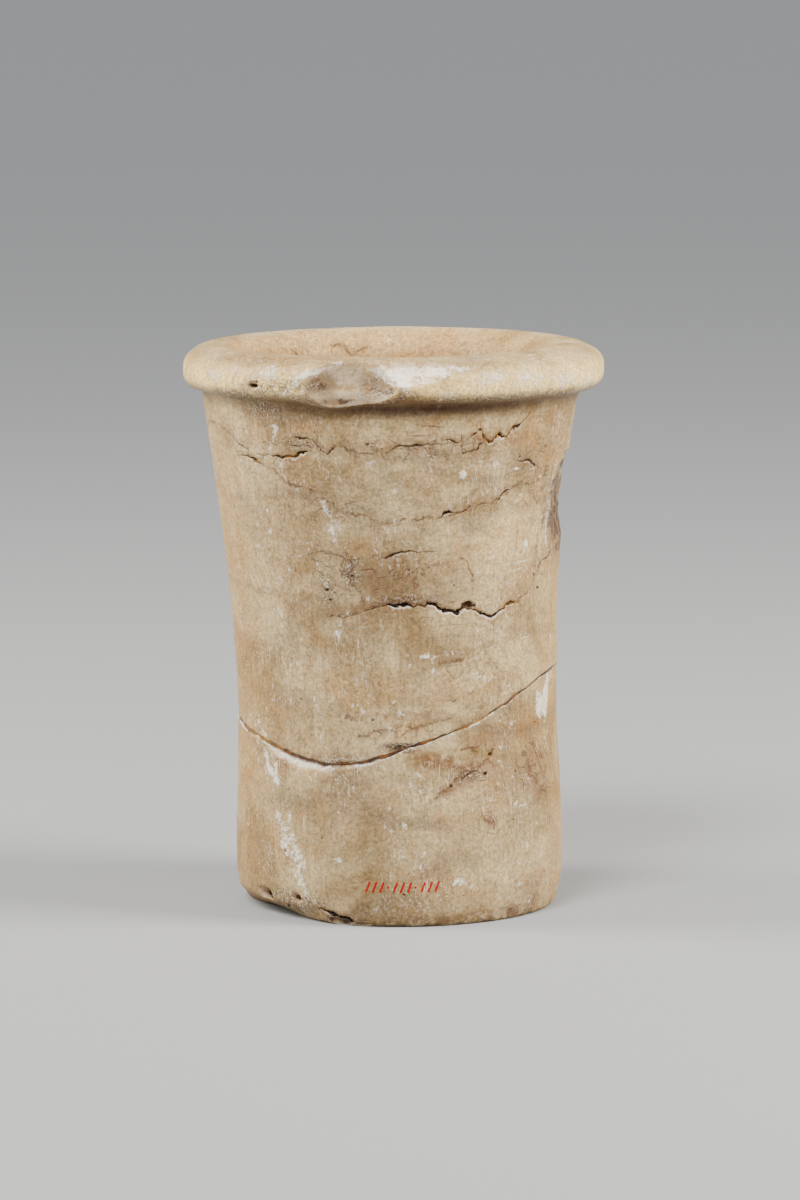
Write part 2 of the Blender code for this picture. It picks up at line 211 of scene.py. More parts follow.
# Open cracks. Each point has an angle, a height and a width in millimetres.
CRACKS = (
    ((-22.5, 68.2, 0.12), (-17.5, 68, 0.10), (-11.5, 69.3, 0.08), (-6.5, 70.4, 0.26),
     (-4.5, 70.7, 0.16), (-2.8, 71.1, 0.22), (-0.8, 71.1, 0.45), (1.3, 70.9, 0.65),
     (3.7, 71.1, 0.90), (5.4, 71, 0.55), (6.8, 70.5, 0.22), (8.2, 71.1, 0.20),
     (10.6, 70.6, 0.35), (11.6, 71.4, 0.45), (13.8, 71.2, 0.50), (15, 70.5, 0.58),
     (16.6, 69.8, 0.68), (19.2, 69.5, 0.80), (22.2, 69.1, 0.92), (23.5, 69.6, 0.65),
     (25, 70.3, 0.60), (28, 69.6, 0.30), (30.6, 68.8, 0.45), (33.5, 68.1, 0.50),
     (35.7, 67.6, 0.45), (38, 68.2, 0.52), (40.6, 68.9, 0.55), (42, 69.6, 0.70),
     (44.4, 70.4, 0.60), (46.2, 70.3, 0.26)),
    ((46.2, 70.2, 0.22), (48.1, 70.1, 0.18), (48.6, 70.9, 0.24), (50.2, 71.2, 0.18),
     (53.1, 71.9, 0.15), (56.8, 75.2, 0.15), (56, 77.7, 0.12)),
    ((59.5, 77, 0.16), (62.3, 78.6, 0.20), (68.4, 79.8, 0.28)),
    ((-58, 106.2, 0.15), (-52.5, 104.3, 0.25), (-50, 103.7, 0.10)),
    ((-45.7, 103.1, 0.12), (-43, 102.8, 0.18), (-41, 103.2, 0.14), (-38.7, 102.9, 0.24),
     (-35.6, 102.6, 0.44), (-34, 103, 0.42), (-31, 102.9, 0.50), (-29, 104, 0.68),
     (-26.4, 104.4, 0.32)),
    ((-53.9, 102.2, 0.22), (-51.6, 102.3, 0.26), (-49.9, 101.9, 0.34), (-47.8, 101.7, 0.60),
     (-46.6, 101.2, 0.35), (-44.4, 100.7, 0.12), (-41, 99.5, 0.10)),
    ((-29.6, 107.4, 0.24), (-28.2, 107.1, 0.38), (-26.4, 107.3, 0.30), (-24.3, 107.1, 0.16),
     (-23.1, 106.1, 0.16), (-22, 105.4, 0.22), (-21.4, 104.6, 0.18), (-19.2, 104, 0.22),
     (-17.8, 105.1, 0.26), (-17, 105.4, 0.16)),
    ((-1, 104.5, 0.14), (0.5, 105.1, 0.22), (2.7, 106, 0.32), (6, 105.9, 0.30),
     (8, 106.2, 0.38), (11.6, 106.4, 0.24), (13, 106.2, 0.12), (15, 106.4, 0.14)),
    ((16.8, 107.1, 0.14), (18.6, 107.2, 0.24), (19.8, 106.7, 0.28), (22.1, 106.6, 0.24)),
    ((22.3, 107.9, 0.14), (22.9, 104.2, 0.14)),
    ((23.1, 104, 0.30), (27.9, 104.8, 0.28), (28.5, 105.7, 0.28), (29.5, 106.2, 0.18)),
    ((25.4, 107.7, 0.20), (26.8, 108.3, 0.40)),
    ((29.1, 108.8, 0.24), (29.9, 107.2, 0.32), (32.1, 106, 0.44), (33.6, 106.9, 0.44),
     (35.4, 107.8, 0.66), (36.9, 107.1, 0.55), (38.4, 107.2, 0.28), (39.8, 108.3, 0.45),
     (41.4, 109, 0.90), (42.6, 109.3, 0.60), (43.8, 109.8, 0.22), (47, 112, 0.12)),
    ((8, 110.7, 0.10), (10.3, 110.2, 0.16), (16, 109.9, 0.12)),
    ((44.8, 101.5, 0.20), (46.7, 101.4, 0.22), (49.7, 101.4, 0.46), (52.6, 100.2, 0.30)),
    ((-5, 80.8, 0.14), (-2.1, 81.4, 0.28), (0, 82, 0.45), (2.1, 82.5, 0.45), (4.4, 82.7, 0.32),
     (6.9, 82.9, 0.16), (9.5, 82.7, 0.10)),
    ((16.3, 90.1, 0.14), (17.7, 91.1, 0.56), (19.2, 91.4, 0.42), (20.8, 91.1, 0.14),
     (23.3, 91.2, 0.20), (24.7, 91.5, 0.28), (26.5, 92.4, 0.18)),
    ((36.1, 92.4, 0.12), (38.4, 94.4, 0.34), (39.8, 95, 0.32), (41.5, 95.4, 0.12)),
    ((22, 32.3, 0.12), (25, 33.4, 0.30), (27.5, 34, 0.24), (30, 33.6, 0.16)),
    ((-29.6, 3.7, 0.15), (-27.4, 3.1, 0.40), (-25.6, 2.6, 0.80), (-23.6, 2.0, 1.00),
     (-21.5, 1.4, 0.95), (-19.6, 0.9, 0.60), (-17.6, 0.6, 0.30)),
    ((120, 96, 0.16), (131, 94, 0.45), (139, 95.5, 0.60), (148, 92, 0.40), (160, 93.2, 0.55),
     (166, 91, 0.15)),
    ((-150, 75, 0.12), (-141, 77.5, 0.42), (-133, 76, 0.30), (-122, 78.4, 0.12)),
    ((-118, 22.6, 0.12), (-109, 21.5, 0.34), (-100, 24, 0.14)),
)

# Soft veins: strength first, then points with an angle, a height and a width.
VEINS = (
    (0.75, ((-44, 100.7, 0.5), (-38, 99, 0.8), (-33, 97, 0.8), (-26.5, 96, 0.8),
            (-22, 94.5, 1.2), (-14, 90.5, 0.9), (-5, 89.6, 0.7), (6.5, 89.8, 0.8), (16, 90, 0.8))),
    (0.65, ((19, 90.6, 1.6), (27, 91.6, 1.4), (34, 92.6, 1.2), (41, 95.4, 1.3), (46, 96.3, 1.0),
            (59.6, 97.5, 0.6))),
    (0.80, ((-17, 105.6, 0.8), (-12.4, 105, 1.4), (-7, 104, 1.6), (-3, 104.4, 1.0),
            (4, 105.2, 1.4), (13, 105.6, 1.4), (20, 106.2, 1.2))),
    (0.55, ((-60, 107, 0.8), (-72, 108.5, 0.9), (-84, 107, 0.8))),
    (0.60, ((6.9, 82.9, 0.35), (13.6, 82.5, 0.30), (19.6, 82.1, 0.30), (24, 81.1, 0.45),
            (25.5, 79.6, 0.55), (27.7, 77.1, 0.45), (28, 73.5, 0.35))),
    (0.70, ((15.5, 79.7, 0.4), (19, 80.0, 0.7), (21, 78.2, 0.8), (20.5, 77, 0.5))),
    (0.70, ((-28, 81.5, 0.9), (-20, 82.2, 1.4), (-13, 80.5, 1.8), (-14, 76, 1.6), (-10, 72, 1.2))),
    (0.60, ((-22, 68.3, 1.0), (-12, 69.8, 1.2), (0, 72, 1.8), (10, 72.4, 1.6), (20, 71.5, 1.2))),
    (0.75, ((-14, 42, 0.3), (-11.6, 42.6, 0.5), (-7.6, 43.3, 0.5), (-1.9, 43.6, 0.45),
            (6.9, 43.8, 0.5), (11.4, 44.8, 0.4), (20.7, 46.3, 0.5))),
    (0.80, ((-18.6, 46.3, 0.4), (-15, 46.0, 0.7), (-11.9, 46.1, 0.4))),
    (0.60, ((19.3, 50, 0.8), (21.6, 50, 0.8), (27.4, 51.5, 0.4))),
    (0.70, ((15.3, 58, 0.3), (18.5, 58.2, 0.45), (24.1, 58.7, 0.4))),
    (0.65, ((33.3, 57.6, 0.5), (37.9, 56.1, 0.6))),
    (0.70, ((22.5, 38.4, 0.5), (28, 39.2, 0.4), (34.1, 39.6, 0.2))),
    (1.00, ((36, 38.4, 0.4), (33, 36.4, 0.8), (28.5, 34.6, 1.3), (25, 34.0, 1.4),
            (21, 32.4, 0.9), (16.7, 30.3, 1.3), (13, 28.5, 0.6))),
    (0.55, ((50.7, 36.5, 1.6), (54, 31, 1.8), (62.9, 26.5, 1.4))),
    (0.50, ((57, 39, 1.2), (60, 33, 1.5), (66, 29, 1.2))),
    (0.80, ((31, 23.5, 0.5), (33.9, 22.6, 1.2), (35, 21, 0.5))),
    (0.55, ((40, 2.5, 1.2), (47, 2.8, 1.0))),
    (0.55, ((56.5, 77.5, 0.4), (60, 86, 0.6), (62, 95, 0.6))),
    (0.55, ((95, 64, 1.2), (112, 61, 1.4), (130, 63.5, 1.0), (150, 58, 1.4), (172, 61.5, 1.0))),
    (0.55, ((-171, 93.5, 1.0), (-150, 96, 1.3), (-128, 91, 1.0), (-110, 94.5, 1.2),
            (-95, 92, 1.0))),
    (0.45, ((-165, 26, 1.0), (-140, 20, 1.2), (-122, 23, 1.0), (-100, 18, 1.0))),
    (0.45, ((100, 30, 1.2), (124, 27, 1.0), (141, 31, 1.2), (168, 28, 1.0))),
    (0.60, ((-80, 60, 0.5), (-95, 57, 0.8), (-112, 58.5, 0.5))),
)

# Where nets of hair-fine veins show: angle, height, half width, half height and strength.
NETS = (
    (57.0, 33.0, 9.0, 8.0, 1.0),
    (28.0, 35.5, 6.0, 4.0, 0.9),
    (1.0, 77.5, 15.0, 5.0, 0.8),
    (-19.0, 77.0, 7.0, 7.0, 0.9),
    (56.0, 99.0, 7.0, 12.0, 0.8),
    (0.0, 105.0, 28.0, 3.0, 0.8),
    (-45.0, 103.0, 9.0, 4.0, 0.7),
    (-22.0, 92.0, 12.0, 4.0, 0.6),
    (-18.0, 37.0, 10.0, 2.5, 0.6),
    (27.0, 56.0, 10.0, 3.5, 0.6),
    (0.0, 43.5, 14.0, 2.0, 0.6),
    (40.0, 70.0, 9.0, 5.0, 0.6),
    (35.0, 22.0, 5.0, 4.0, 0.6),
    (-60.0, 62.0, 8.0, 14.0, 0.4),
    (110.0, 62.0, 22.0, 7.0, 0.8),
    (150.0, 95.0, 18.0, 6.0, 0.8),
    (-140.0, 78.0, 18.0, 8.0, 0.8),
    (-105.0, 24.0, 16.0, 7.0, 0.7),
    (170.0, 30.0, 16.0, 6.0, 0.6),
)

# Veins on the inside of the wall, which show above the rim's near side.
INNER_VEINS = (
    (0.9, ((-146, 117, 0.5), (-141, 118.5, 0.8), (-137, 121, 0.5))),
    (0.9, ((-170, 121.0, 0.5), (-164, 119.5, 0.8), (-160, 121.5, 0.5), (-156, 121.5, 0.6))),
    (0.6, ((150, 112, 0.8), (163, 110, 1.1), (176, 113, 0.8))),
    (0.6, ((60, 96, 0.9), (85, 99, 1.2), (110, 95, 0.9))),
    (0.6, ((-60, 84, 0.9), (-85, 86, 1.2), (-120, 82, 0.9))),
)

# Holes: angle, height, radius and depth in millimetres. Small ones are strewn by chance.
PITS = (
    (26.3, 70.6, 1.05, 1.0),
    (24.6, 70.7, 0.55, 0.7),
    (28.4, 70.4, 0.40, 0.5),
    (-47.6, 101.6, 0.55, 0.9),
    (-40.9, 118.6, 0.60, 0.9),
    (-39.2, 119.6, 0.25, 0.4),
    (41.4, 109.0, 0.50, 0.7),
    (28.6, 109.1, 0.40, 0.4),
    (17.7, 91.0, 0.32, 0.4),
    (59.6, 72.6, 0.36, 0.5),
    (68.4, 93.4, 0.60, 0.9),
    (67.6, 90.4, 0.50, 0.8),
    (69.0, 95.6, 0.45, 0.6),
    (70.4, 88.0, 0.55, 0.8),
    (71.6, 92.4, 0.60, 0.9),
    (34.5, 37.3, 0.52, 0.6),
    (32.3, 33.2, 0.42, 0.5),
    (18.7, 31.0, 0.34, 0.4),
    (-22.9, 74.1, 0.36, 0.4),
    (-22.0, 71.9, 0.30, 0.4),
    (-38.5, 5.3, 0.60, 0.7),
    (-56.4, 4.7, 0.80, 1.0),
    (-54.6, 4.0, 0.55, 0.8),
    (-46.0, 2.8, 0.35, 0.4),
    (-13.6, 77.4, 0.26, 0.3),
    (49.7, 101.4, 0.30, 0.4),
    (134, 94.8, 0.60, 0.8),
    (-140, 77.3, 0.55, 0.7),
)
SMALL_PIT_COUNT = 70
PIT_SEED = 12

# White rubbed streaks: strength first, then points with an angle, a height and a width.
STREAKS = (
    (0.70, ((-54.8, 36.9, 0.7), (-53.5, 34.5, 0.9), (-51, 32.4, 0.9), (-47.1, 29.6, 0.7))),
    (0.70, ((-50.5, 36.3, 0.4), (-48.2, 33.1, 0.6), (-47.1, 29.8, 0.6))),
    (0.59, ((-49, 25.8, 0.5), (-47.7, 23.7, 0.9), (-45.7, 20.5, 1.3), (-43.6, 16.5, 1.4),
            (-39.8, 12.5, 1.3), (-36.8, 9.1, 0.9), (-34.5, 6.3, 0.7))),
    (0.56, ((-43, 25.6, 0.5), (-41.6, 22.0, 0.9), (-39.4, 17.4, 1.1), (-37.4, 14.5, 1.1),
            (-34.6, 12.7, 0.6))),
    (0.60, ((-34.5, 6.6, 0.3), (-30, 7.5, 0.2), (-26.8, 7.2, 0.25), (-23.1, 6, 0.2))),
    (0.60, ((-30.3, 49.6, 0.5), (-28.7, 47.1, 0.35), (-28.1, 43.1, 0.3), (-27, 39.6, 0.2))),
    (0.60, ((-28.7, 47.1, 0.4), (-26.7, 43.4, 0.3))),
    (0.50, ((-60, 42.9, 0.6), (-56.5, 40.4, 0.6))),
    (0.55, ((-1.9, 48.4, 0.4), (1, 47, 0.9), (3.7, 46.1, 0.4))),
    (0.50, ((5.9, 53.7, 0.3), (5, 58.5, 0.3), (7.5, 59.7, 0.35), (19, 59.9, 0.3),
            (40.3, 59.9, 0.2))),
    (0.55, ((27.6, 56.3, 0.6), (31, 54.5, 0.8), (34.3, 53.5, 0.6))),
    (1.00, ((70, 53.4, 0.8), (68.5, 50.6, 1.2), (66, 47, 2.2), (66, 43.6, 1.0))),
    (0.85, ((59.6, 49.4, 0.6), (61.5, 46, 1.4), (62.5, 43.4, 0.7))),
    (0.75, ((39.0, 99.2, 0.2), (46, 99.3, 0.35), (53, 99.4, 0.2))),
    (0.60, ((64, 92.5, 0.3), (63.0, 88.5, 0.6), (63.3, 84, 0.6), (65, 80.5, 0.4))),
    (0.65, ((-37.6, 109.6, 0.5), (-38.2, 106.6, 0.3), (-39.3, 104.9, 0.3), (-41, 103.6, 0.5))),
    (0.60, ((-4.2, 102.9, 0.5), (-6.7, 101.9, 0.5))),
    (0.55, ((-3.6, 101.4, 0.5), (-3.4, 99.5, 0.5))),
    (0.50, ((-31.0, 98, 0.3), (-30.9, 94.8, 0.35))),
    (0.60, ((-22.8, 94, 0.4), (-20.5, 91.8, 0.8), (-19.4, 89.8, 1.0), (-19.4, 86.5, 0.6),
            (-19, 85.0, 0.7))),
    (0.55, ((-17.6, 89.6, 0.4), (-16.8, 87.5, 0.6))),
    (0.45, ((1.3, 93, 0.25), (0.8, 88.5, 0.3), (1.5, 86, 0.2))),
    (0.45, ((6, 94, 0.25), (5.7, 89, 0.25))),
    (0.60, ((-19.2, 67.6, 0.4), (-19.8, 64.8, 0.9), (-18.8, 63.4, 0.4))),
    (0.55, ((25.6, 27.3, 0.3), (26, 25.0, 0.45))),
    (0.60, ((39.6, 25.4, 0.5), (38.8, 24.2, 0.4))),
    (0.50, ((49.6, 30, 0.25), (49.2, 24.8, 0.3))),
    (0.60, ((7.7, 18, 0.3), (7.4, 15.2, 0.4), (7.9, 12, 0.6))),
    (0.70, ((19.6, 9.6, 0.8), (22, 9.9, 0.9), (24, 9.0, 0.5))),
    (0.55, ((24.8, 8.5, 0.2), (33, 7.6, 0.25), (42, 4.9, 0.2))),
    (0.50, ((51.5, 12.2, 0.4), (56, 12.2, 0.5), (60.6, 13.5, 0.3))),
    (0.45, ((12, 62.0, 0.25), (13, 55.0, 0.25))),
    (0.45, ((40, 66, 0.25), (43, 61, 0.25))),
    (0.50, ((118, 74, 0.5), (129, 69, 0.6), (133, 62, 0.4))),
    (0.55, ((-128, 48, 0.6), (-121, 42, 0.8), (-119, 37, 0.4))),
    (0.50, ((176, 66, 0.5), (171, 60, 0.7), (166, 55, 0.4))),
    # The white of these two, along the scoop's upper edges, is partly a painted highlight on the lit
    # ridge.
    (0.95, ((-27.0, 119.6, 0.7), (-24.4, 121.4, 0.6), (-19.5, 122.9, 0.5), (-14.5, 123.9, 0.4))),
    (0.60, ((-9.2, 123.4, 0.4), (-3.0, 121.2, 0.5), (2.6, 118.4, 0.5))),
)

# The tables that follow hold oval places: angle, height, half width and half height in
# millimetres, and strength. These are chalky white spots.
SPOTS = (
    (-6.6, 102.0, 0.9, 0.6, 0.6),
    (23.6, 99.4, 1.0, 1.1, 0.9),
    (20.0, 101.3, 1.4, 0.9, 0.4),
    (34.8, 101.4, 1.1, 0.8, 0.7),
    (51.1, 82.8, 0.8, 1.2, 0.9),
    (-32.1, 81.2, 0.8, 0.8, 0.6),
    (-36.8, 77.7, 0.8, 0.9, 0.6),
    (-24.6, 80.6, 0.9, 0.6, 0.6),
    (-22.5, 75.8, 1.2, 2.0, 0.4),
    (-21.5, 14.6, 1.4, 0.8, 0.9),
    (-31.0, 18.6, 1.0, 0.8, 0.5),
    (1.9, 22.6, 0.8, 0.7, 0.9),
    (1.5, 15.8, 0.6, 0.7, 0.8),
    (-1.5, 14.0, 0.6, 0.7, 0.8),
    (-11.1, 47.3, 0.8, 0.7, 0.7),
    (-0.5, 49.8, 0.9, 0.7, 0.6),
    (45.8, 12.6, 0.9, 0.6, 0.7),
    (46.0, 8.0, 0.8, 0.6, 0.7),
    (-56.0, 120.0, 3.2, 1.6, 0.6),
    (-47.0, 121.6, 2.4, 1.4, 0.5),
    (-36.0, 121.2, 2.2, 1.2, 0.8),
    (-34.0, 122.8, 2.4, 1.0, 0.5),
    (2.0, 121.6, 4.2, 1.7, 1.0),
    (9.5, 122.2, 4.5, 1.3, 0.9),
    (2.6, 119.6, 1.4, 1.4, 1.0),
    (6.8, 120.6, 2.5, 0.9, 0.8),
    (-5.0, 123.0, 2.2, 0.7, 0.9),
    (17.5, 122.9, 3.0, 0.8, 0.7),
    (14.0, 117.4, 2.6, 1.0, 0.5),
    (28.0, 120.6, 3.4, 2.0, 0.6),
    (40.0, 119.6, 4.0, 1.8, 0.6),
    (52.0, 119.0, 4.0, 2.0, 0.6),
    (66.0, 118.0, 3.0, 2.0, 0.5),
)

# Brown stains. On broken stone, in the scoop and the chips, they also give painted shade in the
# hollows.
STAINS_AND_HOLLOW_SHADE = (
    (-20.6, 119.4, 2.8, 2.8, 1.0),
    (-18.5, 116.6, 3.0, 0.8, 0.7),
    (-4.4, 119.6, 3.6, 2.2, 0.9),
    (0.4, 118.0, 2.6, 0.8, 0.8),
    (0.8, 39.5, 4.2, 1.2, 0.80),
    (-3.0, 40.3, 1.6, 0.7, 0.8),
    (-21.0, 37.6, 4.0, 1.0, 0.7),
    (-55.6, 4.6, 2.0, 1.5, 1.0),
    (-38.5, 5.2, 1.2, 1.0, 1.0),
    (-22.5, 1.6, 3.4, 1.2, 1.0),
    (17.0, 37.0, 4.0, 1.4, 0.6),
    (26.5, 34.2, 5.4, 2.2, 1.0),
    (21.5, 31.8, 3.4, 1.8, 0.6),
    (18.5, 30.5, 1.8, 1.6, 0.8),
    (3.0, 77.0, 13.0, 4.5, 0.50),
    (-13.5, 78.5, 2.6, 3.6, 0.7),
    (9.0, 73.5, 12.0, 1.8, 0.5),
    (-17.0, 69.5, 5.0, 1.6, 0.6),
    (33.9, 22.6, 1.4, 1.4, 0.9),
    (55.0, 31.5, 7.0, 6.0, 0.5),
    (70.0, 14.0, 5.0, 9.0, 0.3),
    (78.0, 88.0, 10.0, 11.0, 1.0),
    (70.5, 91.5, 3.0, 6.5, 1.0),
    (20.0, 106.8, 12.0, 1.6, 0.6),
    (-34.0, 112.0, 16.0, 2.2, 0.15),
    (43.0, 1.6, 3.0, 1.2, 0.8),
    (10.0, 1.6, 9.0, 1.4, 0.5),
    (140, 60, 14.0, 7.0, 0.5),
    (-130, 84, 12.0, 6.0, 0.45),
    (175, 20, 12.0, 6.0, 0.45),
)

# Dark old crust in the flake and the scoop, also painted shade at the flake's left edge and in the
# scoop.
CRUST_AND_SHADE = (
    (86.0, 89.0, 15.0, 12.5, 0.62),
    (98.0, 87.0, 8.0, 8.5, 0.50),
    (71.0, 90.5, 4.0, 7.0, 1.0),
    (-21.6, 119.0, 1.4, 1.8, 0.42),
    (-16.0, 116.5, 3.6, 0.7, 0.42),
    (-1.0, 118.3, 2.6, 1.0, 0.35),
)

# Old breaks that are no longer as pale as the others.
WEATHERED = (
    (88.0, 89.5, 26.0, 20.0, 0.62),
)

# Paler stone, and painted light on the neck just under the rim, where the rim shades it.
PALER_STONE_AND_PAINTED_LIGHT = (
    (-34.0, 34.0, 12.0, 2.2, 0.16),
    (-12.0, 26.5, 10.0, 5.5, 0.24),
    (-62.0, 119.0, 9.0, 6.0, 0.12),
    (64.0, 119.0, 9.0, 6.0, 0.12),
    (-46.0, 112.4, 13.0, 2.5, 0.30),
    (0.0, 110.5, 30.0, 2.0, 0.20),
    (49.0, 83.0, 11.0, 12.0, 0.32),
    (-46.0, 110.5, 10.0, 4.0, 0.20),
    (10.0, 98.0, 14.0, 6.0, 0.08),
    (2.0, 110.0, 24.0, 3.6, 0.28),
    (160.0, 100.0, 20.0, 8.0, 0.12),
    (-130.0, 56.0, 18.0, 10.0, 0.10),
)

# Darker stone.
DARKER = (
    (0.0, 17.0, 52.0, 18.0, 0.09),
    (-52.0, 60.0, 14.0, 22.0, 0.07),
    (-35.0, 63.0, 10.0, 9.0, 0.13),
    (9.0, 75.5, 13.0, 5.0, 0.13),
    (5.0, 24.0, 18.0, 8.0, 0.06),
    (110.0, 70.0, 18.0, 10.0, 0.12),
    (-100.0, 95.0, 14.0, 8.0, 0.10),
)

# Warm cream stone, and a painted warm glow of light through the stone down both flanks.
WARMER_AND_GLOW = (
    (-74.0, 60.0, 12.0, 60.0, 0.9),
    (76.0, 45.0, 9.0, 55.0, 0.9),
    (150.0, 50.0, 16.0, 20.0, 0.5),
    (-140.0, 30.0, 16.0, 16.0, 0.5),
)

# Orange brown rust.
RUST = (
    (10.5, 37.0, 4.6, 2.4, 0.85),
    (15.5, 36.4, 4.4, 2.4, 0.75),
    (24.0, 38.0, 5.0, 1.7, 0.65),
    (20.0, 33.0, 4.0, 2.4, 0.45),
    (36.0, 42.0, 7.0, 2.2, 0.32),
    (51.0, 42.0, 7.0, 2.2, 0.36),
    (-45.5, 34.6, 4.0, 1.4, 0.4),
    (-20.0, 34.4, 7.0, 1.2, 0.4),
    (16.7, 30.3, 2.2, 1.6, 0.6),
    (-4.0, 118.4, 3.6, 1.2, 0.7),
    (4.0, 116.6, 7.0, 1.0, 0.7),
    (-45.0, 3.0, 5.0, 1.4, 0.5),
    (72.0, 36.0, 3.0, 8.0, 0.4),
    (150, 56, 10.0, 4.0, 0.5),
    (-110, 70, 9.0, 5.0, 0.4),
)

# Crumbly, dusty stone with white and dark grains.
GRIT = (
    (-50.0, 116.4, 8.0, 1.2, 0.7),
    (30.0, 116.2, 14.0, 1.0, 0.7),
    (58.0, 116.4, 8.0, 1.2, 0.6),
    (-33.0, 118.6, 8.0, 2.2, 0.9),
    (-42.0, 112.6, 6.0, 1.6, 0.7),
    (-27.0, 118.0, 3.0, 2.6, 0.8),
    (-5.5, 117.6, 3.0, 1.4, 0.7),
    (2.0, 117.8, 3.5, 1.4, 0.8),
    (-14.0, 77.5, 2.2, 3.6, 0.8),
    (-22.5, 74.0, 2.2, 4.2, 0.7),
    (5.0, 72.3, 9.0, 1.2, 0.6),
    (1.0, 39.7, 4.4, 1.2, 1.0),
    (27.0, 33.2, 4.0, 1.6, 0.9),
    (-40.0, 4.6, 9.0, 2.6, 0.8),
    (66.0, 91.0, 3.0, 5.0, 0.5),
    (36.0, 107.4, 6.0, 1.8, 0.5),
    (-29.0, 106.2, 4.0, 2.0, 0.5),
    (137, 94.5, 8.0, 2.4, 0.7),
    (-138, 76.5, 6.0, 2.2, 0.6),
)

# Amber resin in cracks and holes.
AMBER = (
    (36.0, 107.8, 6.5, 2.0, 1.0),
    (-47.3, 101.2, 1.2, 0.8, 1.0),
    (-31.0, 103.0, 3.0, 0.8, 0.9),
    (28.6, 109.2, 0.8, 0.7, 1.0),
    (34.5, 37.2, 0.9, 0.8, 1.0),
    (51.0, 42.8, 7.0, 1.4, 0.6),
    (-38.7, 5.1, 0.9, 0.9, 0.9),
    (43.0, 69.8, 2.5, 1.2, 0.7),
)

# Row of slanted red strokes and dots, painted on the foot. Their places are millimetres along
# the row.
STROKE_ROW_ANGLE = 1.0
STROKE_ROW_HEIGHT = 9.1
STROKE_HALF_WIDTH = 0.25
STROKE_HALF_HEIGHT = 1.0
STROKE_SLANT = 0.35
STROKE_PLACES = (-7.4, -5.9, -4.4, -1.5, 0.0, 1.5, 4.4, 5.9, 7.4)
DOT_PLACES = (-3.1, 2.8)

# Grid columns round the jar, and rows next to the break, in millimetres from it.
COLUMNS = 300
EDGE_STEPS = (0.0, 0.1, 0.2, 0.35, 0.5, 0.7, 0.95, 1.25, 1.6, 2.0, 2.5)
ROW_SPACING = 0.9 * MM
BREAK_FACE_SPACING = 0.85 * MM
BORE_SPACING = 2.0 * MM
FLOOR_SPACING = 2.4 * MM

# Rounds of cutting the grid finer: how far round cracks, holes, painted strokes and rim chips,
# in millimetres. Chips in the wall are cut finer in the first round only.
FINER_ROUNDS = (
    (1.3, 0.6, 1.1, 1.0),
    (0.7, 0.2, 0.6, 0.3),
)
WALL_CHIP_MARGIN = 0.5 * MM


# The section of the wall and the line of the break

def ease(share):
    """Goes smoothly from 0 to 1 as share does."""
    share = np.clip(share, 0.0, 1.0)
    return share * share * (3.0 - 2.0 * share)


def outer_radius(height):
    """Radius of the outer wall, from the foot to the neck."""
    below = np.clip(1.0 - height / FOOT_WIDEST_HEIGHT, 0.0, 1.0)
    foot = FOOT_RADIUS - FOOT_TAPER * below ** 3
    to_waist = (height - FOOT_WIDEST_HEIGHT) / (WAIST_HEIGHT - FOOT_WIDEST_HEIGHT)
    wall = foot + (WAIST_RADIUS - FOOT_RADIUS) * ease(to_waist)
    to_neck = np.clip((height - WAIST_HEIGHT) / (NECK_HEIGHT - WAIST_HEIGHT), 0.0, 1.0)
    return wall + (NECK_RADIUS - WAIST_RADIUS) * to_neck ** FLARE_POWER


def bore_radius(height):
    """Radius of the drilled inside."""
    at_waist = WAIST_RADIUS - WALL_AT_WAIST
    at_neck = NECK_RADIUS - WALL_AT_NECK
    rise = (height - WAIST_HEIGHT) / (NECK_HEIGHT - WAIST_HEIGHT)
    return at_waist + (at_neck - at_waist) * rise


def around(angle, low):
    """The same angle, brought into the turn that starts at low."""
    return low + (angle - low) % 360


def wander_table():
    """Small ups and downs of the break line, and of the gap's width, for each half degree."""
    line = []
    gap = []
    for step in range(721):
        turn = math.radians(step / 2)
        spot = Vector((math.cos(turn), math.sin(turn), 0.0))
        line.append(noise.noise(spot * 7.0) + 0.60 * noise.noise(spot * 21.0)
                    + 0.35 * noise.noise(spot * 60.0))
        gap.append(noise.noise(spot * 9.0 + Vector((0.0, 0.0, 5.0)))
                   + 0.6 * noise.noise(spot * 40.0))
    return np.array(line), np.array(gap)


WANDER, GAP_CHANGE = wander_table()
HALF_DEGREES = np.arange(721) / 2


def break_offset(angle):
    """Height of the break line above or below its middle height, with its small wander."""
    marks = np.array([mark for mark, _ in BREAK_LINE], float)
    heights = np.array([height for _, height in BREAK_LINE], float)
    marks = np.concatenate(([marks[-1] - 360], marks, marks[:2] + 360))
    heights = np.concatenate(([heights[-1]], heights, heights[:2]))
    turn = around(angle, marks[1])
    place = np.clip(np.searchsorted(marks, turn, side="right") - 1, 1, len(marks) - 3)
    slopes = (heights[2:] - heights[:-2]) / (marks[2:] - marks[:-2])
    width = marks[place + 1] - marks[place]
    t = (turn - marks[place]) / width
    rise = heights[place] * (2 * t ** 3 - 3 * t ** 2 + 1)
    rise += slopes[place - 1] * width * (t ** 3 - 2 * t ** 2 + t)
    rise += heights[place + 1] * (3 * t ** 2 - 2 * t ** 3)
    rise += slopes[place] * width * (t ** 3 - t ** 2)
    rise += BREAK_WANDER * np.interp(around(angle, 0), HALF_DEGREES, WANDER)
    return rise * MM


def lean_at(radius, height):
    """How far a point of the jar has moved towards -X."""
    rise = (height - LEAN_START_HEIGHT) / (LEAN_END_HEIGHT - LEAN_START_HEIGHT)
    wall = LEAN * np.clip(rise, 0.0, 1.0) ** LEAN_POWER
    out_on_rim = ease((radius - CREST_RADIUS) / (RIM_RADIUS - CREST_RADIUS))
    return np.where(height <= NECK_HEIGHT, wall, wall + (RIM_LEAN - wall) * out_on_rim)


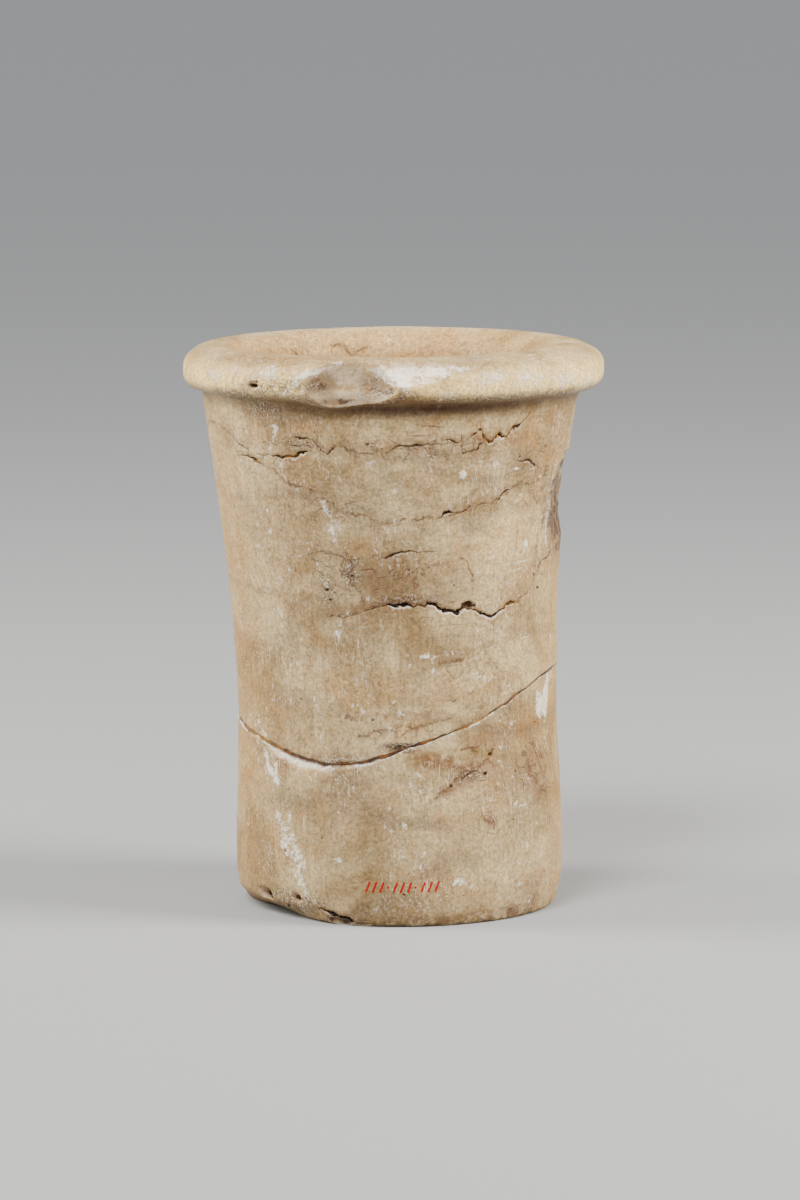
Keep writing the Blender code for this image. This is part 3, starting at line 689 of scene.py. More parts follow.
def foot_wear(angle, height):
    """How much the worn edge of the foot has lost at this angle and height."""
    across = np.abs(angle - FOOT_WEAR_ANGLE) / FOOT_WEAR_HALF_ANGLE
    left = 1.0 - height / FOOT_WEAR_HEIGHT
    return FOOT_WEAR * ease(1.0 - across) * np.clip(left, 0.0, 1.0)


def evenly(start, end, spacing):
    """Values after start, up to and with end, about one spacing apart."""
    count = max(1, round(abs(end - start) / spacing))
    return list(np.linspace(start, end, count + 1)[1:])


def quarter(count):
    """Turns from just above 0 to a right angle, in so many steps."""
    return np.linspace(0.0, math.pi / 2, count + 1)[1:]


def rim_points():
    """The rolled rim from the top of the neck, over the crest, to the foot of the inner lip."""
    belly_centre = RIM_RADIUS - RIM_BELLY_WIDTH
    low = Vector((NECK_RADIUS, NECK_HEIGHT))
    hollow = Vector((NECK_RADIUS + 0.15 * (belly_centre - NECK_RADIUS), BELLY_BASE))
    high = Vector((belly_centre, BELLY_BASE))
    points = []
    for t in np.linspace(0.0, 1.0, 7)[1:]:
        points.append(tuple(low * (1 - t) ** 2 + hollow * 2 * t * (1 - t) + high * t ** 2))
    for turn in quarter(6):
        out = belly_centre + RIM_BELLY_WIDTH * math.sin(turn)
        points.append((out, BAND_BASE - RIM_BELLY_DEPTH * math.cos(turn)))
    points.append((RIM_RADIUS, (BAND_BASE + CROWN_BASE) / 2))
    points.append((RIM_RADIUS, CROWN_BASE))
    for turn in quarter(14):
        out = CREST_RADIUS + (RIM_RADIUS - CREST_RADIUS) * math.cos(turn)
        points.append((out, CROWN_BASE + RIM_CROWN_DEPTH * math.sin(turn)))
    lip_width = CREST_RADIUS - bore_radius(LIP_BASE)
    for turn in quarter(12):
        out = CREST_RADIUS - lip_width * math.sin(turn)
        points.append((out, LIP_BASE + LIP_DEPTH * math.cos(turn)))
    return points


def upper_section():
    """Closed half section of the upper fragment, from the break up, over the rim and down."""
    settled = BREAK_HEIGHT + BREAK_SPREAD
    last_edge = BREAK_HEIGHT + EDGE_STEPS[-1] * MM
    heights = [BREAK_HEIGHT + step * MM for step in EDGE_STEPS]
    heights += evenly(last_edge, settled, ROW_SPACING)
    heights += evenly(settled, NECK_HEIGHT, ROW_SPACING)
    points = [(outer_radius(height), height) for height in heights]
    points += rim_points()
    down = evenly(LIP_BASE, settled, BORE_SPACING)
    down += evenly(settled, BREAK_HEIGHT, BORE_SPACING)
    points += [(bore_radius(height), height) for height in down]
    inner, outer = bore_radius(BREAK_HEIGHT), outer_radius(BREAK_HEIGHT)
    across = evenly(inner, outer, BREAK_FACE_SPACING)
    points += [(radius, BREAK_HEIGHT) for radius in across]
    return points


def lower_section():
    """Open half section of the lower fragment, from its underside round to the drilled floor."""
    settled = BREAK_HEIGHT - BREAK_SPREAD
    edge_radius = outer_radius(FOOT_EDGE_ROUNDING)
    flat_radius = edge_radius - FOOT_EDGE_ROUNDING
    points = [(0.0, 0.0)]
    points += [(radius, 0.0) for radius in evenly(0.0, flat_radius, FLOOR_SPACING)]
    for turn in quarter(6):
        out = flat_radius + FOOT_EDGE_ROUNDING * math.sin(turn)
        points.append((out, FOOT_EDGE_ROUNDING * (1.0 - math.cos(turn))))
    first_edge = BREAK_HEIGHT - EDGE_STEPS[-1] * MM
    heights = evenly(FOOT_EDGE_ROUNDING, settled, ROW_SPACING)
    heights += evenly(settled, first_edge, ROW_SPACING)
    heights += [BREAK_HEIGHT - step * MM for step in reversed(EDGE_STEPS[:-1])]
    points += [(outer_radius(height), height) for height in heights]
    inner, outer = bore_radius(BREAK_HEIGHT), outer_radius(BREAK_HEIGHT)
    across = evenly(outer, inner, BREAK_FACE_SPACING)
    points += [(radius, BREAK_HEIGHT) for radius in across]
    down = evenly(BREAK_HEIGHT, settled, BORE_SPACING) + [FLOOR_CORNER_HEIGHT]
    points += [(bore_radius(height), height) for height in down]
    corner = bore_radius(FLOOR_CORNER_HEIGHT) - FLOOR_ROUNDING
    for turn in quarter(9):
        height = FLOOR_CORNER_HEIGHT - FLOOR_ROUNDING * math.sin(turn)
        points.append((corner + FLOOR_ROUNDING * math.cos(turn), height))
    points += [(radius, FLOOR_THICKNESS) for radius in evenly(corner, 0.0, FLOOR_SPACING)]
    return points


def adhesive_section():
    """Closed half section of the adhesive, as thick as the gap and behind both surfaces."""
    outer = outer_radius(BREAK_HEIGHT) - ADHESIVE_RECESS
    inner = bore_radius(BREAK_HEIGHT) + ADHESIVE_RECESS
    points = [(outer, BREAK_HEIGHT + rise * GAP_HALF_WIDTH) for rise in (-1.1, -0.5, 0.5, 1.1)]
    points += [(inner, BREAK_HEIGHT + rise * GAP_HALF_WIDTH) for rise in (1.1, -1.1)]
    return points + points[:1]


# Reading and writing meshes

def read_points(mesh):
    """The mesh's points as rows of x, y and z."""
    values = np.empty(len(mesh.vertices) * 3)
    mesh.vertices.foreach_get("co", values)
    return values.reshape(-1, 3)


def write_points(mesh, points):
    """Gives the mesh these points."""
    mesh.vertices.foreach_set("co", np.asarray(points, float).ravel())
    mesh.update()


def write_attribute(mesh, name, values):
    """Stores one number for each point under a name that a material can read."""
    layer = mesh.attributes.get(name) or mesh.attributes.new(name, "FLOAT", "POINT")
    layer.data.foreach_set("value", np.asarray(values, float))


def read_attribute(mesh, name):
    """The numbers that are stored for each point under a name."""
    values = np.empty(len(mesh.vertices))
    mesh.attributes[name].data.foreach_get("value", values)
    return values


def bumps(points, size, seed=0.0, octaves=3):
    """Soft noise between about -1 and 1 at each point, with lumps of the given size."""
    shift = Vector((seed, seed * 0.37, -seed * 0.61))
    scale = 1.0 / size
    values = [
        noise.fractal(Vector(point) * scale + shift, 1.0, 2.0, octaves) for point in points
    ]
    return np.array(values)


# Places on the unrolled surface, and the shell that is rolled from a grid

def cylinder_of(points):
    """Radius and angle of points of the upright jar."""
    radius = np.hypot(points[:, 0], points[:, 1])
    angle = np.degrees(np.arctan2(points[:, 0], -points[:, 1]))
    return radius, angle


def surface_map(points):
    """Where points lie on the unrolled outer surface, in millimetres along and up it."""
    _, angle = cylinder_of(points)
    return np.column_stack((np.radians(angle) * WAIST_RADIUS / MM, points[:, 2] / MM))


def map_spot(angle, height):
    """An angle and a height in millimetres, as a spot on the unrolled surface."""
    return np.array((math.radians(angle) * WAIST_RADIUS / MM, height))


def rolled_shell(name, section):
    """Rolls a flat grid into a shell with the given half section, then moves it to the break."""
    bpy.ops.object.select_all(action="DESELECT")
    bpy.ops.mesh.primitive_grid_add(
        x_subdivisions=COLUMNS, y_subdivisions=len(section) - 1, size=1.0
    )
    piece = bpy.context.object
    piece.name = name
    piece.data.name = name
    flat = read_points(piece.data)
    ring = np.rint((flat[:, 1] + 0.5) * (len(section) - 1)).astype(int)
    angle = 360.0 * flat[:, 0]
    radius = np.array([point[0] for point in section])[ring]
    height = np.array([point[1] for point in section])[ring]
    lean = lean_at(radius, height)
    near_break = np.clip(1.0 - np.abs(height - BREAK_HEIGHT) / BREAK_SPREAD, 0.0, 1.0)
    new_height = height + break_offset(angle) * near_break
    inner, outer = bore_radius(height), outer_radius(height)
    through = (radius - inner) / (outer - inner)
    new_inner = bore_radius(new_height)
    moved = new_inner + (outer_radius(new_height) - new_inner) * through
    radius = np.where(near_break > 0.0, moved, radius)
    turn = np.radians(angle)
    write_points(piece.data, np.column_stack(
        (radius * np.sin(turn), -radius * np.cos(turn), new_height)))
    write_attribute(piece.data, "lean", lean)
    write_attribute(piece.data, "level_height", height)
    bpy.ops.object.mode_set(mode="EDIT")
    bpy.ops.mesh.select_all(action="SELECT")
    bpy.ops.mesh.remove_doubles(threshold=0.004 * MM)
    bpy.ops.mesh.normals_make_consistent(inside=False)
    bpy.ops.object.mode_set(mode="OBJECT")
    return piece


def cut_finer(piece, chosen):
    """Halves the edges of the chosen faces."""
    mesh = piece.data
    bpy.ops.object.select_all(action="DESELECT")
    piece.select_set(True)
    bpy.context.view_layer.objects.active = piece
    bpy.ops.object.mode_set(mode="EDIT")
    bpy.ops.mesh.select_mode(type="FACE")
    bpy.ops.mesh.select_all(action="DESELECT")
    bpy.ops.object.mode_set(mode="OBJECT")
    mesh.polygons.foreach_set("select", np.asarray(chosen, bool))
    bpy.ops.object.mode_set(mode="EDIT")
    bpy.ops.mesh.subdivide(number_cuts=1)
    bpy.ops.object.mode_set(mode="OBJECT")


def face_middles(mesh):
    """The middle of each face."""
    values = np.empty(len(mesh.polygons) * 3)
    mesh.polygons.foreach_get("center", values)
    return values.reshape(-1, 3)


# Cracks, veins, holes and chips

def crooked(points, seed):
    """A line's spots on the unrolled surface and its widths there, with kinks added between."""
    pick = random.Random(seed)
    path = [np.array((*map_spot(angle, height), width)) for angle, height, width in points]
    for size in (0.14, 0.08):
        longer = [path[0]]
        for start, end in zip(path, path[1:]):
            run = end - start
            middle = (start + end) / 2
            middle[:2] += np.array((-run[1], run[0])) * pick.uniform(-size, size)
            middle[2] *= pick.uniform(0.75, 1.30)
            longer += [middle, end]
        path = longer
    return np.array(path)


def nearest_line(spots, lines, reach):
    """Signed distance to the nearest line, and that line's width there.

    The distance is positive on the upper side of a line that runs to the right. Past the
    reach it is FAR, and the width is nothing.
    """
    side = np.full(len(spots), FAR)
    width = np.zeros(len(spots))
    for number, points in enumerate(lines):
        path = crooked(points, number)
        places, widths = path[:, :2], path[:, 2]
        low, high = places.min(axis=0) - reach, places.max(axis=0) + reach
        inside = np.nonzero(np.all((spots > low) & (spots < high), axis=1))[0]
        here = spots[inside]
        for index, (start, end) in enumerate(zip(places, places[1:])):
            run = end - start
            offset = here - start
            along = np.clip(offset @ run / (run @ run), 0.0, 1.0)
            gap = offset - along[:, None] * run
            distance = np.hypot(gap[:, 0], gap[:, 1])
            turn = np.where(run[0] * offset[:, 1] - run[1] * offset[:, 0] < 0.0, -1.0, 1.0)
            closer = distance < np.minimum(np.abs(side[inside]), reach)
            here_wide = widths[index] + (widths[index + 1] - widths[index]) * along
            side[inside[closer]] = (distance * turn)[closer]
            width[inside[closer]] = here_wide[closer]
    return side, width


def near_lines(middles, lines, reach):
    """True where a face is within reach of a line and on the outside of the jar."""
    side, _ = nearest_line(surface_map(middles), lines, reach)
    return (np.abs(side) < reach) & on_outside(middles)


def on_outside(points):
    """True where a point is on the outer half of the wall."""
    radius, _ = cylinder_of(points)
    height = np.clip(points[:, 2], 0.0, NECK_HEIGHT)
    return radius > (outer_radius(height) + bore_radius(height)) / 2


def all_pits():
    """The named holes, and small ones strewn over the whole outside."""
    pick = random.Random(PIT_SEED)
    pits = list(PITS)
    for _ in range(SMALL_PIT_COUNT):
        size = pick.uniform(0.12, 0.28)
        pits.append((pick.uniform(-180, 180), pick.uniform(5, 111), size, size * 0.9))
    return pits


def pit_field(spots):
    """Distance past the edge of the nearest hole, negative inside it, and its depth there."""
    edge = np.full(len(spots), FAR)
    depth = np.zeros(len(spots))
    for angle, height, radius, deepest in all_pits():
        offset = spots - map_spot(angle, height)
        distance = np.hypot(offset[:, 0] * 0.82, offset[:, 1] * 1.18)
        edge = np.minimum(edge, distance - radius)
        depth = np.maximum(depth, deepest * ease(1.3 - distance / radius))
    return edge, depth


def chip_frame(chip):
    """A chip's middle on the unleaned jar, its turn and its half widths in metres."""
    angle, height, tilt, depth, size = chip
    size = np.array(size) * MM
    height = height * MM
    turn = Matrix.Rotation(math.radians(angle), 3, "Z")
    turn = np.array(turn @ Matrix.Rotation(math.radians(-tilt), 3, "X"))
    if height > NECK_HEIGHT:
        radius = rim_radius(height)
    else:
        radius = float(outer_radius(height) - foot_wear(angle, height))
    outward = np.array((math.sin(math.radians(angle)), -math.cos(math.radians(angle)), 0.0))
    surface = outward * radius + np.array((0.0, 0.0, height))
    middle = surface - turn @ np.array((0.0, size[1] - depth * MM, 0.0))
    return middle, turn, size


def rim_radius(height):
    """Radius of the rim's outer side at a height."""
    if height > CROWN_BASE:
        up = (height - CROWN_BASE) / RIM_CROWN_DEPTH
        return CREST_RADIUS + (RIM_RADIUS - CREST_RADIUS) * math.sqrt(1.0 - up * up)
    return RIM_RADIUS


def in_chip(points, chip, margin):
    """True for points in a chip's lump, or within a margin of it."""
    middle, turn, size = chip_frame(chip)
    local = (points - middle) @ turn / (size + margin)
    return np.sum(local * local, axis=1) < 1.0


def carve_chip(points, anchors, chip, roughness, seed):
    """Moves points inside a chip's lump towards their anchors, to the lump's rough inner side.

    Gives the new points and how deep each was carved, in metres.
    """
    middle, turn, size = chip_frame(chip)
    away = points - anchors
    length = np.maximum(np.linalg.norm(away, axis=1), 0.001 * MM)
    start = (anchors - middle) @ turn / size
    step = away @ turn / size
    a = np.maximum(np.sum(step * step, axis=1), 1e-9)
    b = np.sum(start * step, axis=1)
    c = np.sum(start * start, axis=1) - 1.0
    inside_root = b * b - a * c
    missed = 9.0
    entry = (-b - np.sqrt(np.maximum(inside_root, 0.0))) / a
    entry = np.where((inside_root > 0.0) & (entry > 0.0), entry, missed)
    depth = (1.0 - entry) * length
    close = np.nonzero(depth > -1.0 * MM)[0]
    soft = CHIP_EDGE_ROUNDING
    cut = depth[close] + bumps(points[close], CHIP_LUMPS, seed, 4) * roughness
    cut = 0.5 * (cut + np.sqrt(cut * cut + soft * soft)) - 0.25 * soft
    cut = np.maximum(cut, 0.0)
    carved = np.zeros(len(points))
    carved[close] = cut
    new_points = points - away / length[:, None] * carved[:, None]
    return new_points, carved


def wall_anchors(points):
    """A point in the middle of the wall behind each point."""
    radius, _ = cylinder_of(points)
    height = np.clip(points[:, 2], 0.0, NECK_HEIGHT)
    middle = (outer_radius(height) + bore_radius(height)) / 2
    flat = points[:, :2] * (middle / np.maximum(radius, MM))[:, None]
    return np.column_stack((flat, points[:, 2]))


def rim_anchors(points):
    """The point of the rim's core that lies behind each point."""
    radius, _ = cylinder_of(points)
    flat = points[:, :2] * (RIM_CORE[0] / np.maximum(radius, MM))[:, None]
    return np.column_stack((flat, np.full(len(points), RIM_CORE[1])))


def outward_normals(mesh):
    """Direction out of the stone at each point."""
    values = np.empty(len(mesh.vertices) * 3)
    mesh.vertex_normals.foreach_get("vector", values)
    return values.reshape(-1, 3)


def move_radially(points, change):
    """Moves points away from the axis by a change for each."""
    radius, _ = cylinder_of(points)
    share = 1.0 + change / np.maximum(radius, MM)
    return np.column_stack((points[:, 0] * share, points[:, 1] * share, points[:, 2]))


# The gap and the bruised edges of the break

def gap_half_width(angle):
    """Half the uneven width of the gap between the fragments, in metres."""
    from_widest = np.abs(around(angle - GAP_WIDEST_ANGLE, -180))
    change = np.interp(around(angle, 0), HALF_DEGREES, GAP_CHANGE)
    half = GAP_HALF_WIDTH * (1.0 + change)
    half += GAP_WIDER * ease(1.0 - from_widest / GAP_WIDEST_HALF_ANGLE)
    return np.maximum(half, GAP_LEAST)


def open_gap(points, level, up):
    """Parts a break face from its partner, roughens it, and shifts it a little sideways."""
    _, angle = cylinder_of(points)
    near = ease(1.0 - np.abs(level - BREAK_HEIGHT) / GAP_REACH)
    moved = points.copy()
    moved[:, 2] += up * gap_half_width(angle) * near
    face = np.nonzero(np.abs(level - BREAK_HEIGHT) < 0.01 * MM)[0]
    flat = points[face] * np.array((1.0, 1.0, 0.0))
    radius, _ = cylinder_of(points[face])
    depth = ease((outer_radius(points[face][:, 2]) - radius) / (1.5 * MM))
    moved[face, 2] += 0.5 * MM * bumps(flat, 5 * MM, 3.0) * depth
    moved[:, 0] += up * 0.5 * MISMATCH * ease(1.0 - np.abs(level - BREAK_HEIGHT) / BREAK_SPREAD)
    return moved


def bevel_at(angle):
    """How much of the broad rubbed bevel on the front left the lower break edge has."""
    return ease(1.7 - np.abs(angle - BEVEL_ANGLE) / BEVEL_HALF_ANGLE)


def bruise_reach(points, up):
    """How far the rubbed edge of a fragment reaches from the break, in millimetres."""
    _, angle = cylinder_of(points)
    unevenness = bumps(points, 3.0 * MM, 7.0, 4)
    if up > 0:
        return np.maximum(0.40 + 0.30 * unevenness, 0.12)
    broad = 2.1 * bevel_at(angle)
    for middle, half_angle, wider in BROAD_BRUISES:
        broad = broad + wider * ease(1.0 - np.abs(angle - middle) / half_angle)
    return np.maximum(0.50 + broad + (0.35 + 0.25 * broad) * unevenness, 0.15)


def distance_from_break(points, level, up):
    """How far points of the outside are above or below the break's edge, in millimetres."""
    _, angle = cylinder_of(points)
    stretch = 1.0 - up * break_offset(angle) / BREAK_SPREAD
    return np.abs(level - BREAK_HEIGHT) * stretch / MM


def wear_break_edge(points, level, up):
    """Rubs back the outer edge of a break, more on the lower fragment than on the upper."""
    radius, _ = cylinder_of(points)
    from_edge = distance_from_break(points, level, up)
    close = np.nonzero((from_edge < EDGE_REACH) & on_outside(points))[0]
    reach = bruise_reach(points[close], up)
    back = 0.45 * reach if up > 0 else np.minimum(0.55 * reach, 1.05)
    share = np.clip(1.0 - from_edge[close] / reach, 0.0, 1.0) ** 1.5
    outer = outer_radius(points[close][:, 2])
    only_skin = ease(1.0 - (outer - radius[close]) / (0.9 * MM))
    change = np.zeros(len(points))
    change[close] = -back * MM * share * only_skin
    return move_radially(points, change)


# What the material reads from the mesh

def line_strength(spots, lines, reach):
    """How strongly soft lines show at each spot, falling off past their width."""
    total = np.zeros(len(spots))
    for strength, points in lines:
        side, width = nearest_line(spots, (points,), reach)
        shown = ease(1.5 - np.abs(side) / np.maximum(width, 0.05))
        total = np.maximum(total, strength * shown)
    return total


def place_strength(spots, places):
    """How strongly oval places show at each spot, falling off past their edge."""
    total = np.zeros(len(spots))
    for angle, height, half_width, half_height, strength in places:
        offset = (spots - map_spot(angle, height)) / np.array((half_width, half_height))
        shown = ease(1.4 - np.hypot(offset[:, 0], offset[:, 1]))
        total = np.maximum(total, strength * shown)
    return total


def stroke_edge(spots):
    """Distance past the edge of the nearest painted stroke or dot, negative on the paint."""
    spots = spots - map_spot(STROKE_ROW_ANGLE, STROKE_ROW_HEIGHT)
    edge = np.full(len(spots), FAR)
    for place in STROKE_PLACES:
        along = np.clip(spots[:, 1], -STROKE_HALF_HEIGHT, STROKE_HALF_HEIGHT)
        aside = spots[:, 0] - place - STROKE_SLANT * along
        edge = np.minimum(edge, np.hypot(aside, spots[:, 1] - along) - STROKE_HALF_WIDTH)
    for place in DOT_PLACES:
        distance = np.hypot(spots[:, 0] - place, spots[:, 1])
        edge = np.minimum(edge, distance - 1.2 * STROKE_HALF_WIDTH)
    return edge


def carve_stone(points, level, chips, rim_chips):
    """Chips the wall and the rim. Gives the points, and how deep each was carved."""
    radius, _ = cylinder_of(points)
    carved = np.zeros(len(points))
    for number, chip in enumerate(chips):
        half_width = chip[4][0]
        roughness = FLAKE_ROUGHNESS if half_width >= WIDE_CHIP else WALL_CHIP_ROUGHNESS
        points, cut = carve_chip(points, wall_anchors(points), chip, roughness, number)
        carved = np.maximum(carved, cut)
    for number, chip in enumerate(rim_chips):
        moved, cut = carve_chip(points, rim_anchors(points), chip, RIM_CHIP_ROUGHNESS, 10 + number)
        on_rim = (level > NECK_HEIGHT) & (radius > CREST_RADIUS - 4 * MM)
        points = np.where(on_rim[:, None], moved, points)
        carved = np.where(on_rim, np.maximum(carved, cut), carved)
    return points, carved


def edge_marks(points, level, up):
    """How chalky, dusty and broadly rubbed the stone is along the break's edge."""
    from_edge = distance_from_break(points, level, up)
    close = np.nonzero((from_edge < EDGE_REACH) & on_outside(points))[0]
    away = from_edge[close]
    _, angle = cylinder_of(points[close])
    chalky = np.zeros(len(points))
    dusty = np.zeros(len(points))
    rubbed = np.zeros(len(points))

    patches = ease(0.5 + 1.8 * bumps(points[close], 3.0 * MM, 17.0, 3))
    narrow = ease(1.6 - np.abs(angle - CHALKY_EDGE_ANGLE) / CHALKY_EDGE_HALF_ANGLE)
    strength = np.maximum.reduce((0.25 + 0.55 * patches, 0.95 * narrow, 0.72 * bevel_at(angle)))
    chalky[close] = strength * ease(1.35 - away / bruise_reach(points[close], up))
    dusty[close] = 0.9 * ease(1.0 - away / 3.0)
    if up > 0:
        chalky *= 0.35
        dusty[close] *= ease(1.0 - np.abs(angle - DUSTY_EDGE_ANGLE) / DUSTY_EDGE_HALF_ANGLE)
    else:
        dusty *= 0.25
        width = BEVEL_WIDTH + 0.5 * bumps(points[close], 3.0 * MM, 23.0, 3)
        rubbed[close] = bevel_at(angle) * ease((width - away) / 0.6 + 0.5)
    return chalky, dusty, rubbed


def brightness(spots, level, radius):
    """Brightness: paler and darker stone, painted light under the rim, painted shade low on its
    belly.
    """
    low_belly = ease(1.0 - np.abs(level - LOW_BELLY_HEIGHT) / LOW_BELLY_SPREAD)
    shade = LOW_BELLY_SHADE * low_belly * (radius > NECK_RADIUS)
    return 1.0 + place_strength(spots, PALER_STONE_AND_PAINTED_LIGHT) - place_strength(spots, DARKER) - shade


def cove_shade(level, angle):
    """How much painted shade darkens the cove under the rim, where the rim shades the neck."""
    under_rim = ease(1.0 - np.abs(level - COVE_HEIGHT) / COVE_SPREAD)
    return under_rim * (0.15 + 0.85 * ease(1.25 - np.abs(angle - COVE_ANGLE) / COVE_HALF_ANGLE))


def mark_veins(mesh, spots, outside):
    """Stores how strong the veins are, and how far off, for the outside and the inside."""
    strength = []
    distance = []
    for veins in (VEINS, INNER_VEINS):
        strength.append(line_strength(spots, veins, LINE_REACH))
        side, _ = nearest_line(spots, [points for _, points in veins], LINE_REACH)
        distance.append(side)
    write_attribute(mesh, "vein", np.where(outside, *strength))
    write_attribute(mesh, "vein_side", np.where(outside, *distance))


def mark_stone(mesh, points, spots, level, carved, up):
    """Stores on the mesh where the stone is cracked, stained, bruised, broken or painted, and where
    light and shade are painted on it.
    """
    outside = on_outside(points)
    radius, angle = cylinder_of(points)
    side, width = nearest_line(spots, CRACKS, CRACK_REACH)
    hole_edge, _ = pit_field(spots)
    chalky, dusty, rubbed = edge_marks(points, level, up)
    streaks = line_strength(spots, STREAKS, LINE_REACH)
    on_rim = ease((radius - CREST_RADIUS) / (4.0 * MM)) * (level > NECK_HEIGHT)
    marks = {
        "crack_side": (side, FAR),
        "crack_width": (width, 0.0),
        "pit_edge": (np.minimum(hole_edge, 2.0), 2.0),
        "chalk": (np.maximum.reduce((streaks, place_strength(spots, SPOTS), chalky)), 0.0),
        "stain": (place_strength(spots, STAINS_AND_HOLLOW_SHADE), 0.0),
        "net": (place_strength(spots, NETS), 0.0),
        "warm": (place_strength(spots, WARMER_AND_GLOW), 1.0),
        "tone": (brightness(spots, level, radius), 1.0),
        "outer_rim": (on_rim, 0.0),
        "rust": (place_strength(spots, RUST), 0.0),
        "crust_and_shade": (place_strength(spots, CRUST_AND_SHADE), 0.0),
        "rubbed": (rubbed, 0.0),
        "grit": (np.maximum(place_strength(spots, GRIT), dusty), 0.0),
        "amber": (place_strength(spots, AMBER), 0.0),
        "cove": (cove_shade(level, angle), 0.0),
        "stroke_edge": (np.minimum(stroke_edge(spots), 2.0), 2.0),
    }
    for name, (values, elsewhere) in marks.items():
        write_attribute(mesh, name, np.where(outside, values, elsewhere))
    mark_veins(mesh, spots, outside)
    chipped = ease(carved / FRESH_DEPTH) * (1.0 - place_strength(spots, WEATHERED))
    on_break_face = distance_from_break(points, level, up) < 0.01
    write_attribute(mesh, "fresh", np.maximum(chipped, on_break_face))


# The three pieces

def finish_stone(piece, chips, rim_chips, up):
    """Carves, cracks and wears one fragment, and stores where its stone is marked."""
    mesh = piece.data
    points = read_points(mesh)
    level = read_attribute(mesh, "level_height")
    lean = read_attribute(mesh, "lean")
    normals = outward_normals(mesh)
    outside = on_outside(points)
    radius, angle = cylinder_of(points)
    on_foot = (points[:, 2] < FOOT_WEAR_HEIGHT) & (radius > FOOT_RADIUS / 2)
    points = move_radially(points, np.where(on_foot, -foot_wear(angle, points[:, 2]), 0.0))
    spots = surface_map(points)

    hand_cut = bumps(points, 17 * MM, 1.0, 3) * 0.11 * MM
    hand_cut += bumps(points, 3.5 * MM, 2.0, 2) * 0.025 * MM
    underside = (points[:, 2] < 0.02 * MM) & (level < 0.02 * MM)
    points = points + normals * np.where(underside, 0.0, hand_cut)[:, None]
    points = open_gap(points, level, up)
    points = wear_break_edge(points, level, up)
    points, carved = carve_stone(points, level, chips, rim_chips)

    side, width = nearest_line(spots, CRACKS, GROOVE_REACH)
    groove = 1.1 * width * MM * np.exp(-(side / np.maximum(0.55 * width, 0.05)) ** 2)
    _, hollow = pit_field(spots)
    sunk = np.where(outside & (level < JAR_HEIGHT - 2 * MM), np.maximum(groove, hollow * MM), 0.0)
    points = points - normals * sunk[:, None]
    points[:, 2] = np.maximum(points[:, 2], 0.0)
    seen = np.where((level > NECK_HEIGHT)[:, None], surface_map(points), spots)
    mark_stone(mesh, points, seen, level, carved, up)

    up_rim = ease((level - NECK_HEIGHT) / RIM_DEPTH)
    rise = RIM_RISE * up_rim * points[:, 0] / RIM_RADIUS
    low_rim = ease(1.0 - np.abs(level - BELLY_BASE) / (2.5 * MM)) * (radius > NECK_RADIUS)
    beside_scoop = ease(1.0 - np.abs(angle - RIM_DROOP_ANGLE) / RIM_DROOP_HALF_ANGLE)
    rise = rise - RIM_DROOP * low_rim * beside_scoop
    points[:, 0] -= lean
    points[:, 2] += np.where(level > NECK_HEIGHT, rise, 0.0)
    write_points(mesh, points)
    drop_build_marks(piece)
    bpy.ops.object.shade_smooth()


def drop_build_marks(piece):
    """Removes what was only stored to build the piece, and selects it alone."""
    for name in ("lean", "level_height"):
        piece.data.attributes.remove(piece.data.attributes[name])
    bpy.ops.object.select_all(action="DESELECT")
    piece.select_set(True)
    bpy.context.view_layer.objects.active = piece


def near_chips(middles, chips, margin):
    """True where a face is in or close to any of the chips."""
    hit = np.zeros(len(middles), bool)
    for chip in chips:
        hit |= in_chip(middles, chip, margin)
    return hit & on_outside(middles)


def cut_finer_round_marks(piece, chips, rim_chips):
    """Cuts the mesh finer at cracks, holes, chips and painted strokes, in two rounds."""
    for number, (line_reach, hole_reach, stroke_reach, margin) in enumerate(FINER_ROUNDS):
        middles = face_middles(piece.data)
        spots = surface_map(middles)
        fine = pit_field(spots)[0] < hole_reach
        fine |= stroke_edge(spots) < stroke_reach
        fine &= on_outside(middles)
        fine |= near_lines(middles, CRACKS, line_reach)
        fine |= near_chips(middles, rim_chips, margin * MM)
        if number == 0:
            fine |= near_chips(middles, chips, WALL_CHIP_MARGIN)
        cut_finer(piece, fine)


def make_upper_fragment():
    """The wall above the break, the neck, the chipped rim and the inner lip."""
    piece = rolled_shell("upper_stone_fragment", upper_section())
    cut_finer_round_marks(piece, UPPER_WALL_CHIPS, RIM_CHIPS)
    finish_stone(piece, UPPER_WALL_CHIPS, RIM_CHIPS, 1)
    return piece


def make_lower_fragment():
    """The wall below the break, the worn foot, the underside and the drilled floor."""
    piece = rolled_shell("lower_stone_fragment", lower_section())
    cut_finer_round_marks(piece, LOWER_WALL_CHIPS, ())
    finish_stone(piece, LOWER_WALL_CHIPS, (), -1)
    return piece


def make_adhesive():
    """The adhesive in the break, a little behind the stone and uneven along the line."""
    piece = rolled_shell("adhesive_line", adhesive_section())
    mesh = piece.data
    points = read_points(mesh)
    lean = read_attribute(mesh, "lean")
    rise = read_attribute(mesh, "level_height") - BREAK_HEIGHT
    _, angle = cylinder_of(points)
    points[:, 2] += rise * (gap_half_width(angle) / GAP_HALF_WIDTH - 1.0)
    swell = bumps(points * np.array((1.0, 1.0, 0.0)), 4 * MM, 9.0, 3) * 0.18 * MM
    points = move_radially(points, np.where(on_outside(points), swell, 0.0))
    points[:, 0] -= lean
    clear = np.zeros(len(points))
    for middle, half_angle, strength in CLEAR_RESIN:
        clear = np.maximum(clear, strength * ease(1.5 - np.abs(angle - middle) / half_angle))
    write_attribute(mesh, "clear", clear)
    write_points(mesh, points)
    drop_build_marks(piece)
    bpy.ops.object.shade_smooth_by_angle(angle=math.radians(50))
    return piece


# Materials

